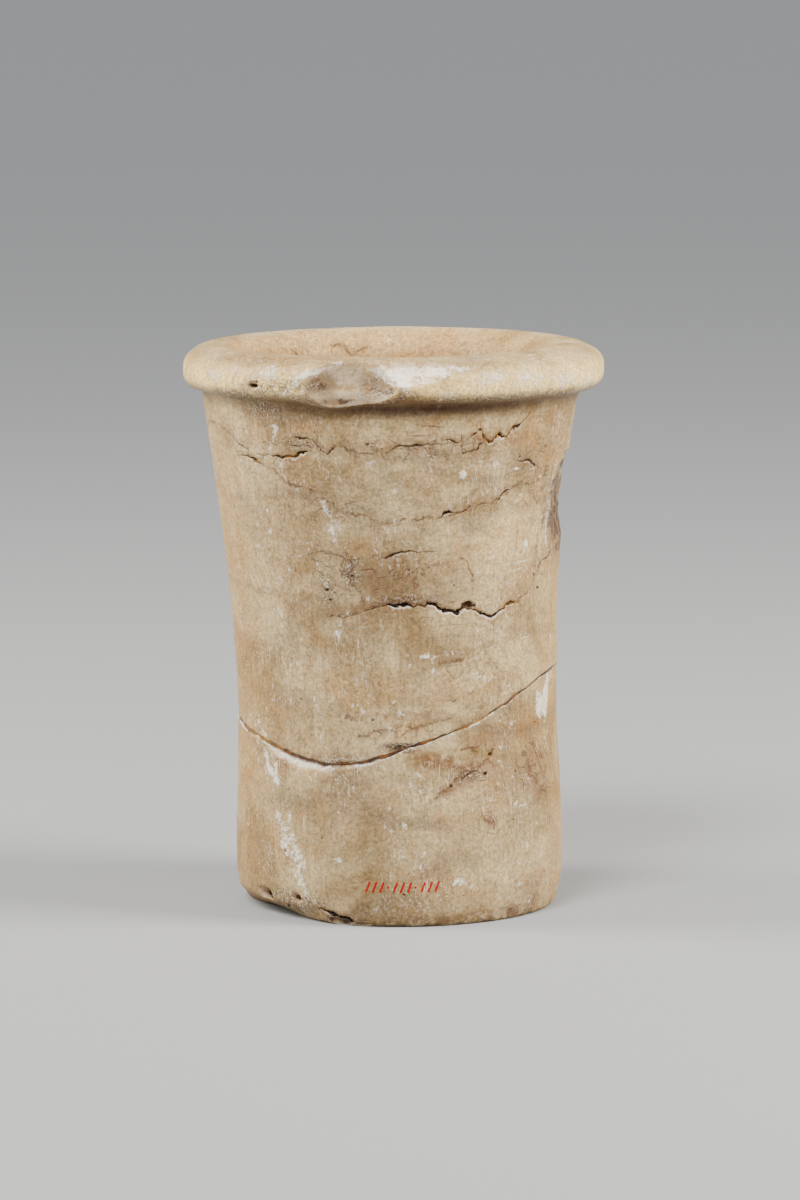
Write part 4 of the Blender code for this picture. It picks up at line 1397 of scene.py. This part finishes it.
class Surface:
    """A material whose nodes are added and joined by short calls."""

    def __init__(self, name):
        self.material = bpy.data.materials.new(name)
        self.material.use_nodes = True
        self.nodes = self.material.node_tree.nodes
        self.links = self.material.node_tree.links
        self.shader = self.nodes["Principled BSDF"]
        self.place = self.nodes.new("ShaderNodeTexCoord").outputs["Object"]

    def feed(self, socket, value):
        """Joins an output to a socket, or sets the socket's own value."""
        if isinstance(value, bpy.types.NodeSocket):
            self.links.new(value, socket)
        else:
            socket.default_value = value

    def add(self, kind, inputs, output, **settings):
        """Adds a node, feeds its inputs by name or number and gives one of its outputs."""
        node = self.nodes.new(kind)
        for name, value in settings.items():
            setattr(node, name, value)
        for name, value in inputs.items():
            self.feed(node.inputs[name], value)
        return node.outputs[output]

    def mark(self, name):
        """The number that the mesh stores under a name."""
        return self.add("ShaderNodeAttribute", {}, "Fac", attribute_name=name)

    def stretched(self, scale, turn=(0.0, 0.0, 0.0)):
        """Object coordinates, turned and then scaled along each axis."""
        turned = self.place
        if any(turn):
            turned = self.add("ShaderNodeMapping", {"Vector": turned, "Rotation": turn}, "Vector")
        return self.add("ShaderNodeMapping", {"Vector": turned, "Scale": scale}, "Vector")

    def cloud(self, size, detail=3.0, roughness=0.5, distortion=0.0):
        """Noise from 0 to 1 with lumps about this many millimetres across."""
        return self.add("ShaderNodeTexNoise", {
            "Vector": self.place,
            "Scale": 1.0 / (size * MM),
            "Detail": detail,
            "Roughness": roughness,
            "Distortion": distortion,
        }, "Fac")

    def drawn_out(self, scale, turn=(0.0, 0.0, 0.0), detail=2.0, distortion=0.0):
        """Noise from 0 to 1 that is drawn out along the axes with the smaller scales."""
        return self.add("ShaderNodeTexNoise", {
            "Vector": self.stretched(scale, turn),
            "Scale": 1.0,
            "Detail": detail,
            "Roughness": 0.55,
            "Distortion": distortion,
        }, "Fac")

    def dots(self, spacing, ragged, fullest):
        """Ragged dots of uneven size, in only some of the cells of this spacing."""
        node = self.nodes.new("ShaderNodeTexVoronoi")
        self.feed(node.inputs["Vector"], self.place)
        self.feed(node.inputs["Scale"], 1.0 / (spacing * MM))
        chance = self.add("ShaderNodeSeparateColor", {0: node.outputs["Color"]}, "Red")
        size = self.span(chance, 0.55, 1.0, 0.0, fullest)
        distance = self.reckon("ADD", node.outputs["Distance"], self.times(ragged, 1.0 / spacing))
        return self.span(self.reckon("SUBTRACT", size, distance), 0.0, 0.05)

    def hairlines(self, size, width, detail=3.0, distortion=0.5):
        """Thin wandering lines, about this many millimetres apart."""
        ridge = self.reckon("SUBTRACT", self.cloud(size, detail, 0.55, distortion), 0.5)
        return self.span(self.reckon("ABSOLUTE", ridge), width, 0.2 * width)

    def reckon(self, operation, first, second=0.0, clamp=False):
        """One sum on numbers."""
        return self.add("ShaderNodeMath", {0: first, 1: second}, "Value",
                        operation=operation, use_clamp=clamp)

    def times(self, *values):
        """Numbers multiplied with each other."""
        total = values[0]
        for value in values[1:]:
            total = self.reckon("MULTIPLY", total, value)
        return total

    def span(self, value, low, high, to_low=0.0, to_high=1.0):
        """Eases a number from one range to another and stops at both ends."""
        return self.add("ShaderNodeMapRange", {
            "Value": value,
            "From Min": low,
            "From Max": high,
            "To Min": to_low,
            "To Max": to_high,
        }, "Result", interpolation_type="SMOOTHSTEP")

    def height(self):
        """Height above the floor, in metres."""
        return self.add("ShaderNodeSeparateXYZ", {0: self.place}, "Z")

    def grey(self, value):
        """A grey of the given brightness."""
        return self.add("ShaderNodeCombineColor", {0: value, 1: value, 2: value}, "Color")

    def blend(self, share, first, second, how="MIX"):
        """Mixes two colours."""
        return self.add("ShaderNodeMix", {0: share, 6: first, 7: second}, 2,
                        data_type="RGBA", blend_type=how)

    def bump(self, height, distance, strength=1.0, normal=None):
        """Adds relief to a surface."""
        inputs = {"Height": height, "Distance": distance, "Strength": strength}
        if normal is not None:
            inputs["Normal"] = normal
        return self.add("ShaderNodeBump", inputs, "Normal")


# Colours of the stone, its dirt, wear, painted shade and painted light, and of the adhesive, in
# linear light.
TAN = (0.277, 0.178, 0.077, 1.0)
CREAM = (0.486, 0.360, 0.188, 1.0)
HONEY = (0.370, 0.190, 0.058, 1.0)
WARM_CREAM = (0.430, 0.236, 0.066, 1.0)
RUST_BROWN = (0.135, 0.052, 0.009, 1.0)
GREY_BEIGE = (0.170, 0.120, 0.072, 1.0)
LIT_IVORY = (0.96, 0.68, 0.275, 1.0)
COVE_SHADE_BROWN = (0.046, 0.009, 0.0009, 1.0)
ROSE_BROWN = (0.185, 0.090, 0.045, 1.0)
DARK_BROWN = (0.060, 0.027, 0.012, 1.0)
VEIN_BROWN = (0.105, 0.045, 0.022, 1.0)
FLAKE_BROWN = (0.056, 0.029, 0.020, 1.0)
CHALK_WHITE = (0.98, 0.90, 0.77, 1.0)
HOLLOW_SHADE_BROWN = (0.215, 0.128, 0.062, 1.0)
BEVEL_CREAM = (0.86, 0.68, 0.44, 1.0)
FRESH_BREAK = (0.70, 0.57, 0.385, 1.0)
DUST_BROWN = (0.155, 0.108, 0.066, 1.0)
CRACK_BLACK = (0.010, 0.005, 0.002, 1.0)
CRACK_BROWN = (0.075, 0.031, 0.010, 1.0)
AMBER_RESIN = (0.34, 0.14, 0.016, 1.0)
STROKE_RED = (0.36, 0.004, 0.001, 1.0)
DIRTY_RESIN = (0.045, 0.014, 0.003, 1.0)
BROWN_RESIN = (0.17, 0.062, 0.008, 1.0)
CLEAR_GOLD = (0.40, 0.20, 0.016, 1.0)

# Heights between which the rim turns ivory, paler stone with painted light, the neck shows level
# lines and the foot turns darker towards its bottom.
LIT_IVORY_FROM = (115.4 * MM, 118.4 * MM)
LIT_IVORY_TO = (119.5 * MM, 124.5 * MM)
NECK_LINES_FROM = (101.0 * MM, 106.0 * MM)
NECK_LINES_TO = (112.0 * MM, 114.0 * MM)
DARK_FOOT_HEIGHT = 4.2 * MM

# Directions in which old scratches run: noise scales along the axes, and their turn.
SCRATCHES = (
    ((2600.0, 2600.0, 170.0), (0.06, 0.03, 0.0)),
    ((2600.0, 2600.0, 130.0), (0.0, -0.08, 0.4)),
    ((1500.0, 1500.0, 80.0), (0.45, 0.35, 0.0)),
    ((1500.0, 1500.0, 60.0), (-0.5, 0.25, 0.3)),
    ((1300.0, 60.0, 1300.0), (0.1, 0.2, 0.8)),
)


def stone_colour(stone, patchy):
    """Cream and tan clouds, grey and honey bands, rosy flecks and a fine rubbed grain."""
    colour = stone.blend(stone.span(stone.cloud(25, 4.0, 0.6, 0.7), 0.36, 0.62), TAN, CREAM)
    warm = stone.span(stone.cloud(13, 3.0, 0.55, 0.5), 0.50, 0.66, 0.0, 0.45)
    colour = stone.blend(warm, colour, HONEY)
    bands = stone.drawn_out((30.0, 30.0, 85.0), (0.10, -0.07, 0.0), 4.0, 1.2)
    colour = stone.blend(stone.span(bands, 0.50, 0.70, 0.0, 0.50), colour, GREY_BEIGE)
    pale = stone.drawn_out((48.0, 48.0, 105.0), (-0.08, 0.12, 0.5), 4.0, 1.0)
    colour = stone.blend(stone.span(pale, 0.52, 0.68, 0.0, 0.65), colour, CREAM)
    where = stone.span(stone.cloud(16, 2.0, 0.5), 0.40, 0.58)
    mottle = stone.times(stone.span(patchy, 0.50, 0.66), where, 0.38)
    colour = stone.blend(mottle, colour, ROSE_BROWN)
    height = stone.height()
    # Ivory on the rim's upper outer side: paler stone, and painted light where the rim catches the
    # light.
    on_rim = stone.times(stone.span(height, *LIT_IVORY_FROM), stone.span(height, *reversed(LIT_IVORY_TO)),
                         stone.mark("outer_rim"), stone.span(patchy, 0.66, 0.34, 0.35, 0.95))
    colour = stone.blend(on_rim, colour, LIT_IVORY)
    # Warm cream, and a painted glow of light through the stone down both flanks.
    warm_and_glowing = stone.times(stone.mark("warm"), stone.span(patchy, 0.30, 0.66, 0.30, 0.55))
    colour = stone.blend(warm_and_glowing, colour, WARM_CREAM)
    flecks = stone.times(stone.span(stone.cloud(0.55, 2.0, 0.6), 0.57, 0.68),
                         stone.span(stone.cloud(8, 2.0, 0.6), 0.42, 0.60))
    colour = stone.blend(stone.times(flecks, 0.42), colour, ROSE_BROWN)
    upright = stone.drawn_out((1500.0, 1500.0, 130.0), (0.0, 0.04, 0.0), 3.0)
    combed = stone.span(stone.cloud(15, 2.0, 0.5), 0.40, 0.60, 0.03, 0.12)
    grain = stone.span(stone.cloud(0.7, 4.0, 0.75), 0.30, 0.70, 0.65, 1.35)
    soft = stone.span(patchy, 0.30, 0.70, -0.12, 0.12)
    lines = stone.times(stone.span(upright, 0.32, 0.68, -1.0, 1.0), combed)
    fine = stone.reckon("ADD", stone.reckon("ADD", grain, soft), lines)
    level_lines = stone.span(stone.drawn_out((90.0, 90.0, 1700.0), (0.03, -0.02, 0.0), 3.0),
                             0.34, 0.66, -0.07, 0.07)
    on_neck = stone.times(stone.span(height, *NECK_LINES_FROM),
                          stone.span(height, *reversed(NECK_LINES_TO)))
    fine = stone.reckon("ADD", fine, stone.times(level_lines, on_neck))
    # The tone holds paler and darker stone, painted light on the neck and painted shade on the rim's
    # belly.
    fine = stone.times(fine, stone.mark("tone"))
    return stone.blend(1.0, colour, stone.grey(fine), "MULTIPLY")


def rubbed_marks(stone, patchy, finer):
    """White flecks, crumbs and fine scratches that every old surface of the jar carries."""
    where = stone.span(stone.cloud(11, 3.0, 0.6), 0.46, 0.60)
    marks = stone.times(stone.span(finer, 0.57, 0.70), where, 0.60)
    wobble = stone.span(finer, 0.25, 0.75, -0.55, 0.55)
    marks = stone.reckon("MAXIMUM", marks, stone.dots(9.0, wobble, 0.10))
    crumbs = stone.times(stone.dots(2.2, wobble, 0.17), stone.span(where, 0.3, 0.8))
    marks = stone.reckon("MAXIMUM", marks, crumbs)
    scratched = stone.times(stone.span(stone.cloud(10, 3.0, 0.6), 0.47, 0.60),
                            stone.span(patchy, 0.38, 0.54))
    for scale, turn in SCRATCHES:
        line = stone.span(stone.drawn_out(scale, turn), 0.645, 0.700)
        marks = stone.reckon("MAXIMUM", marks, stone.times(line, scratched, 0.9))
    return marks


def vein_shares(stone, patchy, finer):
    """How much a vein tints the stone softly, and its thin broken dark line."""
    near = stone.mark("vein")
    soft = stone.times(near, stone.span(patchy, 0.34, 0.60))
    sway = stone.reckon("ADD", stone.span(patchy, 0.3, 0.7, -0.55, 0.55),
                        stone.span(finer, 0.3, 0.7, -0.22, 0.22))
    away = stone.reckon("ABSOLUTE", stone.reckon("ADD", stone.mark("vein_side"), sway))
    broken = stone.span(stone.cloud(2.4, 3.0, 0.65), 0.38, 0.54)
    line = stone.times(stone.span(away, 0.32, 0.04), stone.span(near, 0.05, 0.5), broken)
    net = stone.times(stone.mark("net"), stone.hairlines(6.0, 0.022),
                      stone.span(patchy, 0.36, 0.54))
    line = stone.reckon("MAXIMUM", line, net)
    specks = stone.times(near, stone.span(patchy, 0.50, 0.64), stone.span(finer, 0.50, 0.62))
    return soft, stone.reckon("MAXIMUM", line, stone.times(specks, 0.7))


def crack_shares(stone, finer):
    """How much a crack and a hole show, and the pale edge that catches light below them."""
    ragged = stone.span(finer, 0.25, 0.75, -0.12, 0.12)
    width = stone.mark("crack_width")
    half = stone.times(width, stone.span(stone.cloud(1.1, 2.0, 0.6), 0.36, 0.64, 0.26, 0.66))
    side = stone.mark("crack_side")
    distance = stone.reckon("ABSOLUTE", stone.reckon("ADD", side, ragged))
    past = stone.reckon("SUBTRACT", distance, half)
    line = stone.times(stone.span(past, 0.07, -0.04), stone.span(width, 0.02, 0.34, 0.35, 1.0))
    line = stone.times(line, stone.span(width, 0.0, 0.05))
    past_hole = stone.reckon("ADD", stone.mark("pit_edge"), stone.times(ragged, 1.6))
    hole = stone.span(past_hole, 0.05, -0.16)
    below = stone.reckon("ADD", stone.reckon("ADD", side, half), ragged)
    edge = stone.times(stone.span(below, -0.46, -0.16), stone.span(below, 0.06, -0.06))
    edge = stone.times(edge, stone.span(width, 0.28, 0.55))
    return line, hole, edge


def add_stains(stone, colour, patchy, finer):
    """Brown stains with dark specks, and rust."""
    # The stain also gives painted shade, darkest on the scoop's left wall.
    mark = stone.mark("stain")
    stain = stone.times(mark, stone.span(patchy, 0.34, 0.60), 0.85)
    colour = stone.blend(stain, colour, ROSE_BROWN)
    specks = stone.times(mark, stone.span(finer, 0.56, 0.68), 0.70)
    colour = stone.blend(specks, colour, DARK_BROWN)
    rust = stone.times(stone.mark("rust"), stone.span(patchy, 0.32, 0.56), 0.94)
    return stone.blend(rust, colour, RUST_BROWN)


def add_breaks(stone, colour, fresh, patchy, finer):
    """Paler broken stone, painted shade in its stained hollows, under the dark crust of old breaks.

    Gives the colour, and how much of the crust and its painted shade shows.
    """
    fresh_colour = stone.blend(stone.span(patchy, 0.30, 0.56), HONEY, FRESH_BREAK)
    colour = stone.blend(stone.times(fresh, 0.75), colour, fresh_colour)
    # Painted shade on the stained walls of broken stone, in the scoop and the chips.
    hollow = stone.times(fresh, stone.mark("stain"), stone.span(patchy, 0.26, 0.58, 0.60, 0.95))
    colour = stone.blend(hollow, colour, HOLLOW_SHADE_BROWN)

    # The crust also gives painted shade at the flake's steep left edge and in the scoop.
    crust_and_shade = stone.mark("crust_and_shade")
    uneven = stone.reckon("ADD", crust_and_shade, stone.span(patchy, 0.3, 0.7, -0.30, 0.25))
    crust = stone.times(stone.span(uneven, 0.15, 0.65), stone.span(crust_and_shade, 0.02, 0.3))
    film = stone.times(crust, stone.span(patchy, 0.26, 0.58, 0.45, 0.85))
    colour = stone.blend(film, colour, FLAKE_BROWN)
    crumbs = stone.times(crust, stone.span(finer, 0.50, 0.62), 0.9)
    colour = stone.blend(crumbs, colour, DARK_BROWN)
    grooves = stone.drawn_out((1000.0, 1000.0, 130.0), (0.1, 0.05, 0.0), 3.0)
    off_rim = stone.span(stone.mark("outer_rim"), 0.0, 0.4, 0.15, 0.0)
    colour = stone.blend(
        stone.times(crust, stone.span(grooves, 0.50, 0.66), off_rim), colour, CHALK_WHITE)
    return colour, crust


def add_white_wear(stone, colour, crust, patchy, finer, grains):
    """The rubbed bevel at the break, fine white wear, and chalky streaks and spots.

    Gives the colour, and how much chalk shows.
    """
    bevel = stone.times(stone.mark("rubbed"), stone.span(finer, 0.30, 0.60, 0.55, 0.90))
    colour = stone.blend(bevel, colour, BEVEL_CREAM)
    clean = stone.span(crust, 0.2, 0.9, 1.0, 0.25)
    wear = stone.times(rubbed_marks(stone, patchy, finer), clean, 0.46)
    colour = stone.blend(wear, colour, CHALK_WHITE)

    mark = stone.mark("chalk")
    ragged = stone.reckon("ADD", mark, stone.span(patchy, 0.3, 0.7, -0.35, 0.30))
    ragged = stone.reckon("ADD", ragged, stone.span(finer, 0.3, 0.7, -0.28, 0.25))
    chalk = stone.times(stone.span(ragged, 0.30, 0.80), stone.span(mark, 0.02, 0.35))
    chalk = stone.times(chalk, stone.span(grains, 0.34, 0.56, 0.40, 1.0))
    return stone.blend(stone.times(chalk, 0.88), colour, CHALK_WHITE), chalk


def add_grit(stone, colour, grit, patchy, grains):
    """Dusty, crumbly places with white and dark grains. Gives the colour and the dark grains."""
    dust = stone.times(grit, stone.span(patchy, 0.36, 0.56), 0.60)
    colour = stone.blend(dust, colour, DUST_BROWN)
    white_grains = stone.times(grit, stone.span(grains, 0.57, 0.66), 0.70)
    colour = stone.blend(white_grains, colour, CHALK_WHITE)
    dark_grains = stone.times(grit, stone.span(grains, 0.43, 0.35), 0.80)
    return stone.blend(dark_grains, colour, DARK_BROWN), dark_grains


def add_cove_shade_and_darker_foot(stone, colour, patchy):
    """Painted shade in the cove under the rim, and the foot darker towards its bottom."""
    # Painted shade in the cove, where the rim shades the neck below it.
    cove = stone.times(stone.mark("cove"), stone.span(patchy, 0.28, 0.60, 0.80, 1.0), 0.94)
    colour = stone.blend(cove, colour, COVE_SHADE_BROWN)
    # Darker towards the bottom of the foot.
    low = stone.span(stone.height(), DARK_FOOT_HEIGHT, 0.0)
    darker_foot = stone.times(low, stone.span(patchy, 0.42, 0.60), 0.75)
    return stone.blend(darker_foot, colour, DARK_BROWN)


def add_cracks(stone, colour, patchy, finer, grains):
    """Open cracks and holes: a brown stain round them, a painted highlight below, dust and resin
    inside.

    Gives the colour, and how much of the cracks and holes shows.
    """
    width = stone.mark("crack_width")
    near = stone.span(stone.reckon("ABSOLUTE", stone.mark("crack_side")), 1.7, 0.1)
    halo = stone.times(near, stone.span(width, 0.08, 0.4), stone.span(patchy, 0.38, 0.56), 0.60)
    colour = stone.blend(halo, colour, ROSE_BROWN)
    line, hole, edge = crack_shares(stone, finer)
    # Painted highlight on the pale lower edge of the wider cracks, where light catches it.
    colour = stone.blend(stone.times(edge, 0.38), colour, CHALK_WHITE)

    brown = stone.reckon("MAXIMUM", stone.span(width, 0.50, 0.20), stone.times(hole, 0.8))
    inside = stone.blend(brown, CRACK_BLACK, CRACK_BROWN)
    inside = stone.blend(stone.span(grains, 0.50, 0.62, 0.0, 0.65), inside, DUST_BROWN)
    resin = stone.times(stone.mark("amber"), stone.span(patchy, 0.30, 0.55))
    inside = stone.blend(stone.times(resin, 0.70), inside, AMBER_RESIN)
    colour = stone.blend(stone.times(resin, 0.28), colour, AMBER_RESIN)
    crack = stone.reckon("MAXIMUM", line, hole)
    return stone.blend(crack, colour, inside), crack


def add_painted_strokes(stone, colour, finer, grains):
    """The red strokes and dots on the foot."""
    uneven = stone.span(finer, 0.3, 0.7, -0.06, 0.06)
    brushed = stone.reckon("ADD", stone.mark("stroke_edge"), uneven)
    paint = stone.times(stone.span(brushed, 0.035, -0.035), stone.span(grains, 0.30, 0.42, 0.55, 1.0))
    return stone.blend(paint, colour, STROKE_RED)


def stone_roughness(stone, patchy, dull):
    """Satin stone, smoother on the rim and dull where it is chalky, broken or cracked."""
    rough = stone.span(patchy, 0.3, 0.7, 0.46, 0.60)
    rough = stone.reckon("SUBTRACT", rough, stone.times(stone.mark("outer_rim"), 0.10))
    return stone.reckon("ADD", rough, stone.times(dull, 0.32), True)


def stone_relief(stone, patchy, finer, crumbly, sunk):
    """Soft hand-worked relief, with crumbly places raised and sunk lines scored in."""
    relief = stone.bump(patchy, 0.16 * MM, 0.6)
    relief = stone.bump(stone.times(crumbly, finer), 0.45 * MM, 0.8, relief)
    relief = stone.bump(stone.reckon("SUBTRACT", 1.0, sunk), 0.5 * MM, 0.9, relief)
    return stone.bump(finer, 0.06 * MM, 0.7, relief)


def make_stone_material():
    """Old carved calcite: satin, a little translucent, stained, cracked and bruised."""
    stone = Surface("veined cream calcite")
    patchy = stone.cloud(2.6, 5.0, 0.66)
    finer = stone.cloud(0.75, 3.0, 0.7)
    grains = stone.cloud(0.42, 2.0, 0.6)
    fresh = stone.mark("fresh")
    grit = stone.mark("grit")

    colour = stone_colour(stone, patchy)
    soft_vein, dark_vein = vein_shares(stone, patchy, finer)
    colour = stone.blend(stone.times(soft_vein, 0.50), colour, ROSE_BROWN)
    colour = stone.blend(stone.times(dark_vein, 0.72), colour, VEIN_BROWN)
    colour = add_stains(stone, colour, patchy, finer)
    colour, crust = add_breaks(stone, colour, fresh, patchy, finer)
    colour, chalk = add_white_wear(stone, colour, crust, patchy, finer, grains)
    colour, dark_grains = add_grit(stone, colour, grit, patchy, grains)
    colour = add_cove_shade_and_darker_foot(stone, colour, patchy)
    colour, crack = add_cracks(stone, colour, patchy, finer, grains)
    colour = add_painted_strokes(stone, colour, finer, grains)
    stone.feed(stone.shader.inputs["Base Color"], colour)

    broken = stone.reckon("MAXIMUM", chalk, fresh)
    dull = stone.reckon("MAXIMUM", broken, crack)
    stone.feed(stone.shader.inputs["Roughness"], stone_roughness(stone, patchy, dull))
    crumbly = stone.reckon("MAXIMUM", broken, grit)
    pitted = stone.times(stone.reckon("MAXIMUM", dark_grains, dark_vein), 0.5)
    sunk = stone.reckon("MAXIMUM", crack, pitted)
    relief = stone_relief(stone, patchy, finer, crumbly, sunk)
    stone.feed(stone.shader.inputs["Normal"], relief)

    stone.shader.inputs["Subsurface Weight"].default_value = 0.30
    stone.shader.inputs["Subsurface Radius"].default_value = (1.0, 0.50, 0.22)
    stone.shader.inputs["Subsurface Scale"].default_value = 3.5 * MM
    stone.shader.inputs["Specular IOR Level"].default_value = 0.15
    return stone.material


def make_adhesive_material():
    """Old amber resin, darker where it is thick and dirty."""
    resin = Surface("amber resin")
    patches = resin.span(resin.cloud(5, 3.0, 0.6), 0.42, 0.60)
    colour = resin.blend(patches, DIRTY_RESIN, BROWN_RESIN)
    clear = resin.times(resin.mark("clear"), resin.span(resin.cloud(2.0), 0.36, 0.56))
    colour = resin.blend(clear, colour, CLEAR_GOLD)
    resin.feed(resin.shader.inputs["Base Color"], colour)
    resin.feed(resin.shader.inputs["Roughness"], resin.span(resin.cloud(1.5), 0.3, 0.7, 0.22, 0.5))
    resin.feed(resin.shader.inputs["Normal"], resin.bump(resin.cloud(0.8), 0.1 * MM, 0.6))
    resin.shader.inputs["Subsurface Weight"].default_value = 0.2
    resin.shader.inputs["Subsurface Scale"].default_value = 1.0 * MM
    return resin.material


# Floor, lights and camera

def make_floor():
    """A wide, plain, pale floor."""
    bpy.ops.object.select_all(action="DESELECT")
    bpy.ops.mesh.primitive_plane_add(size=60.0)
    floor = bpy.context.object
    floor.name = "pale_floor"
    paper = Surface("pale matt floor")
    paper.shader.inputs["Base Color"].default_value = (0.325, 0.329, 0.336, 1.0)
    paper.shader.inputs["Roughness"].default_value = 0.75
    paper.shader.inputs["Specular IOR Level"].default_value = 0.2
    floor.data.materials.append(paper.material)


def add_soft_light(name, place, size, watts, colour):
    """A rectangular studio light that faces the middle of the jar."""
    bpy.ops.object.light_add(type="AREA", location=place)
    lamp = bpy.context.object
    lamp.name = name
    lamp.data.shape = "RECTANGLE"
    lamp.data.size, lamp.data.size_y = size
    lamp.data.energy = watts
    lamp.data.color = colour
    aim = Vector((0.0, 0.0, 0.07)) - Vector(place)
    lamp.rotation_euler = aim.to_track_quat("-Z", "Y").to_euler()


def make_lights():
    """Broad lights high in front and at both sides, a soft one from above, and surroundings."""
    white = (1.0, 1.0, 1.0)
    warm = (1.0, 0.97, 0.89)
    add_soft_light("high_front_light", (0.10, -0.70, 1.05), (0.9, 0.5), 3.0, white)
    add_soft_light("left_light", (-0.80, 0.00, 0.55), (0.35, 0.6), 13.5, warm)
    add_soft_light("right_light", (0.80, -0.20, 0.62), (0.40, 0.6), 22.0, warm)
    bpy.ops.object.light_add(type="SUN", rotation=(math.radians(44), 0.0, math.radians(-28)))
    above = bpy.context.object
    above.name = "light_from_above"
    above.data.energy = 3.6
    above.data.angle = math.radians(24)
    world = bpy.data.worlds.new("soft surroundings")
    world.use_nodes = True
    background = world.node_tree.nodes["Background"]
    background.inputs["Color"].default_value = (0.84, 0.85, 0.87, 1.0)
    background.inputs["Strength"].default_value = 0.24
    bpy.context.scene.world = world


def make_camera():
    """The photograph's view: a long lens a little above the rim, looking slightly down."""
    camera_distance = 1186.7 * MM
    camera_height = 226.8 * MM
    camera_aside = 0.1 * MM
    looking_down = 7.654
    bpy.ops.object.camera_add(location=(camera_aside, -camera_distance, camera_height))
    camera = bpy.context.object
    camera.name = "photo_camera"
    camera.rotation_euler = (math.radians(90.0 - looking_down), 0.0, 0.0)
    camera.data.sensor_width = 36.0
    camera.data.lens = 161.34
    bpy.context.scene.camera = camera


def dress(piece, material, node):
    """Gives a piece its material and puts it in a solid's place."""
    piece.data.materials.clear()
    piece.data.materials.append(material)
    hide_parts(node)
    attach(piece, "root")


# The jar put together

make_camera()
stone = make_stone_material()
dress(make_upper_fragment(), stone, "jar_upper_fragment")
dress(make_lower_fragment(), stone, "jar_lower_fragment")
dress(make_adhesive(), make_adhesive_material(), "join_adhesive")
make_floor()
make_lights()
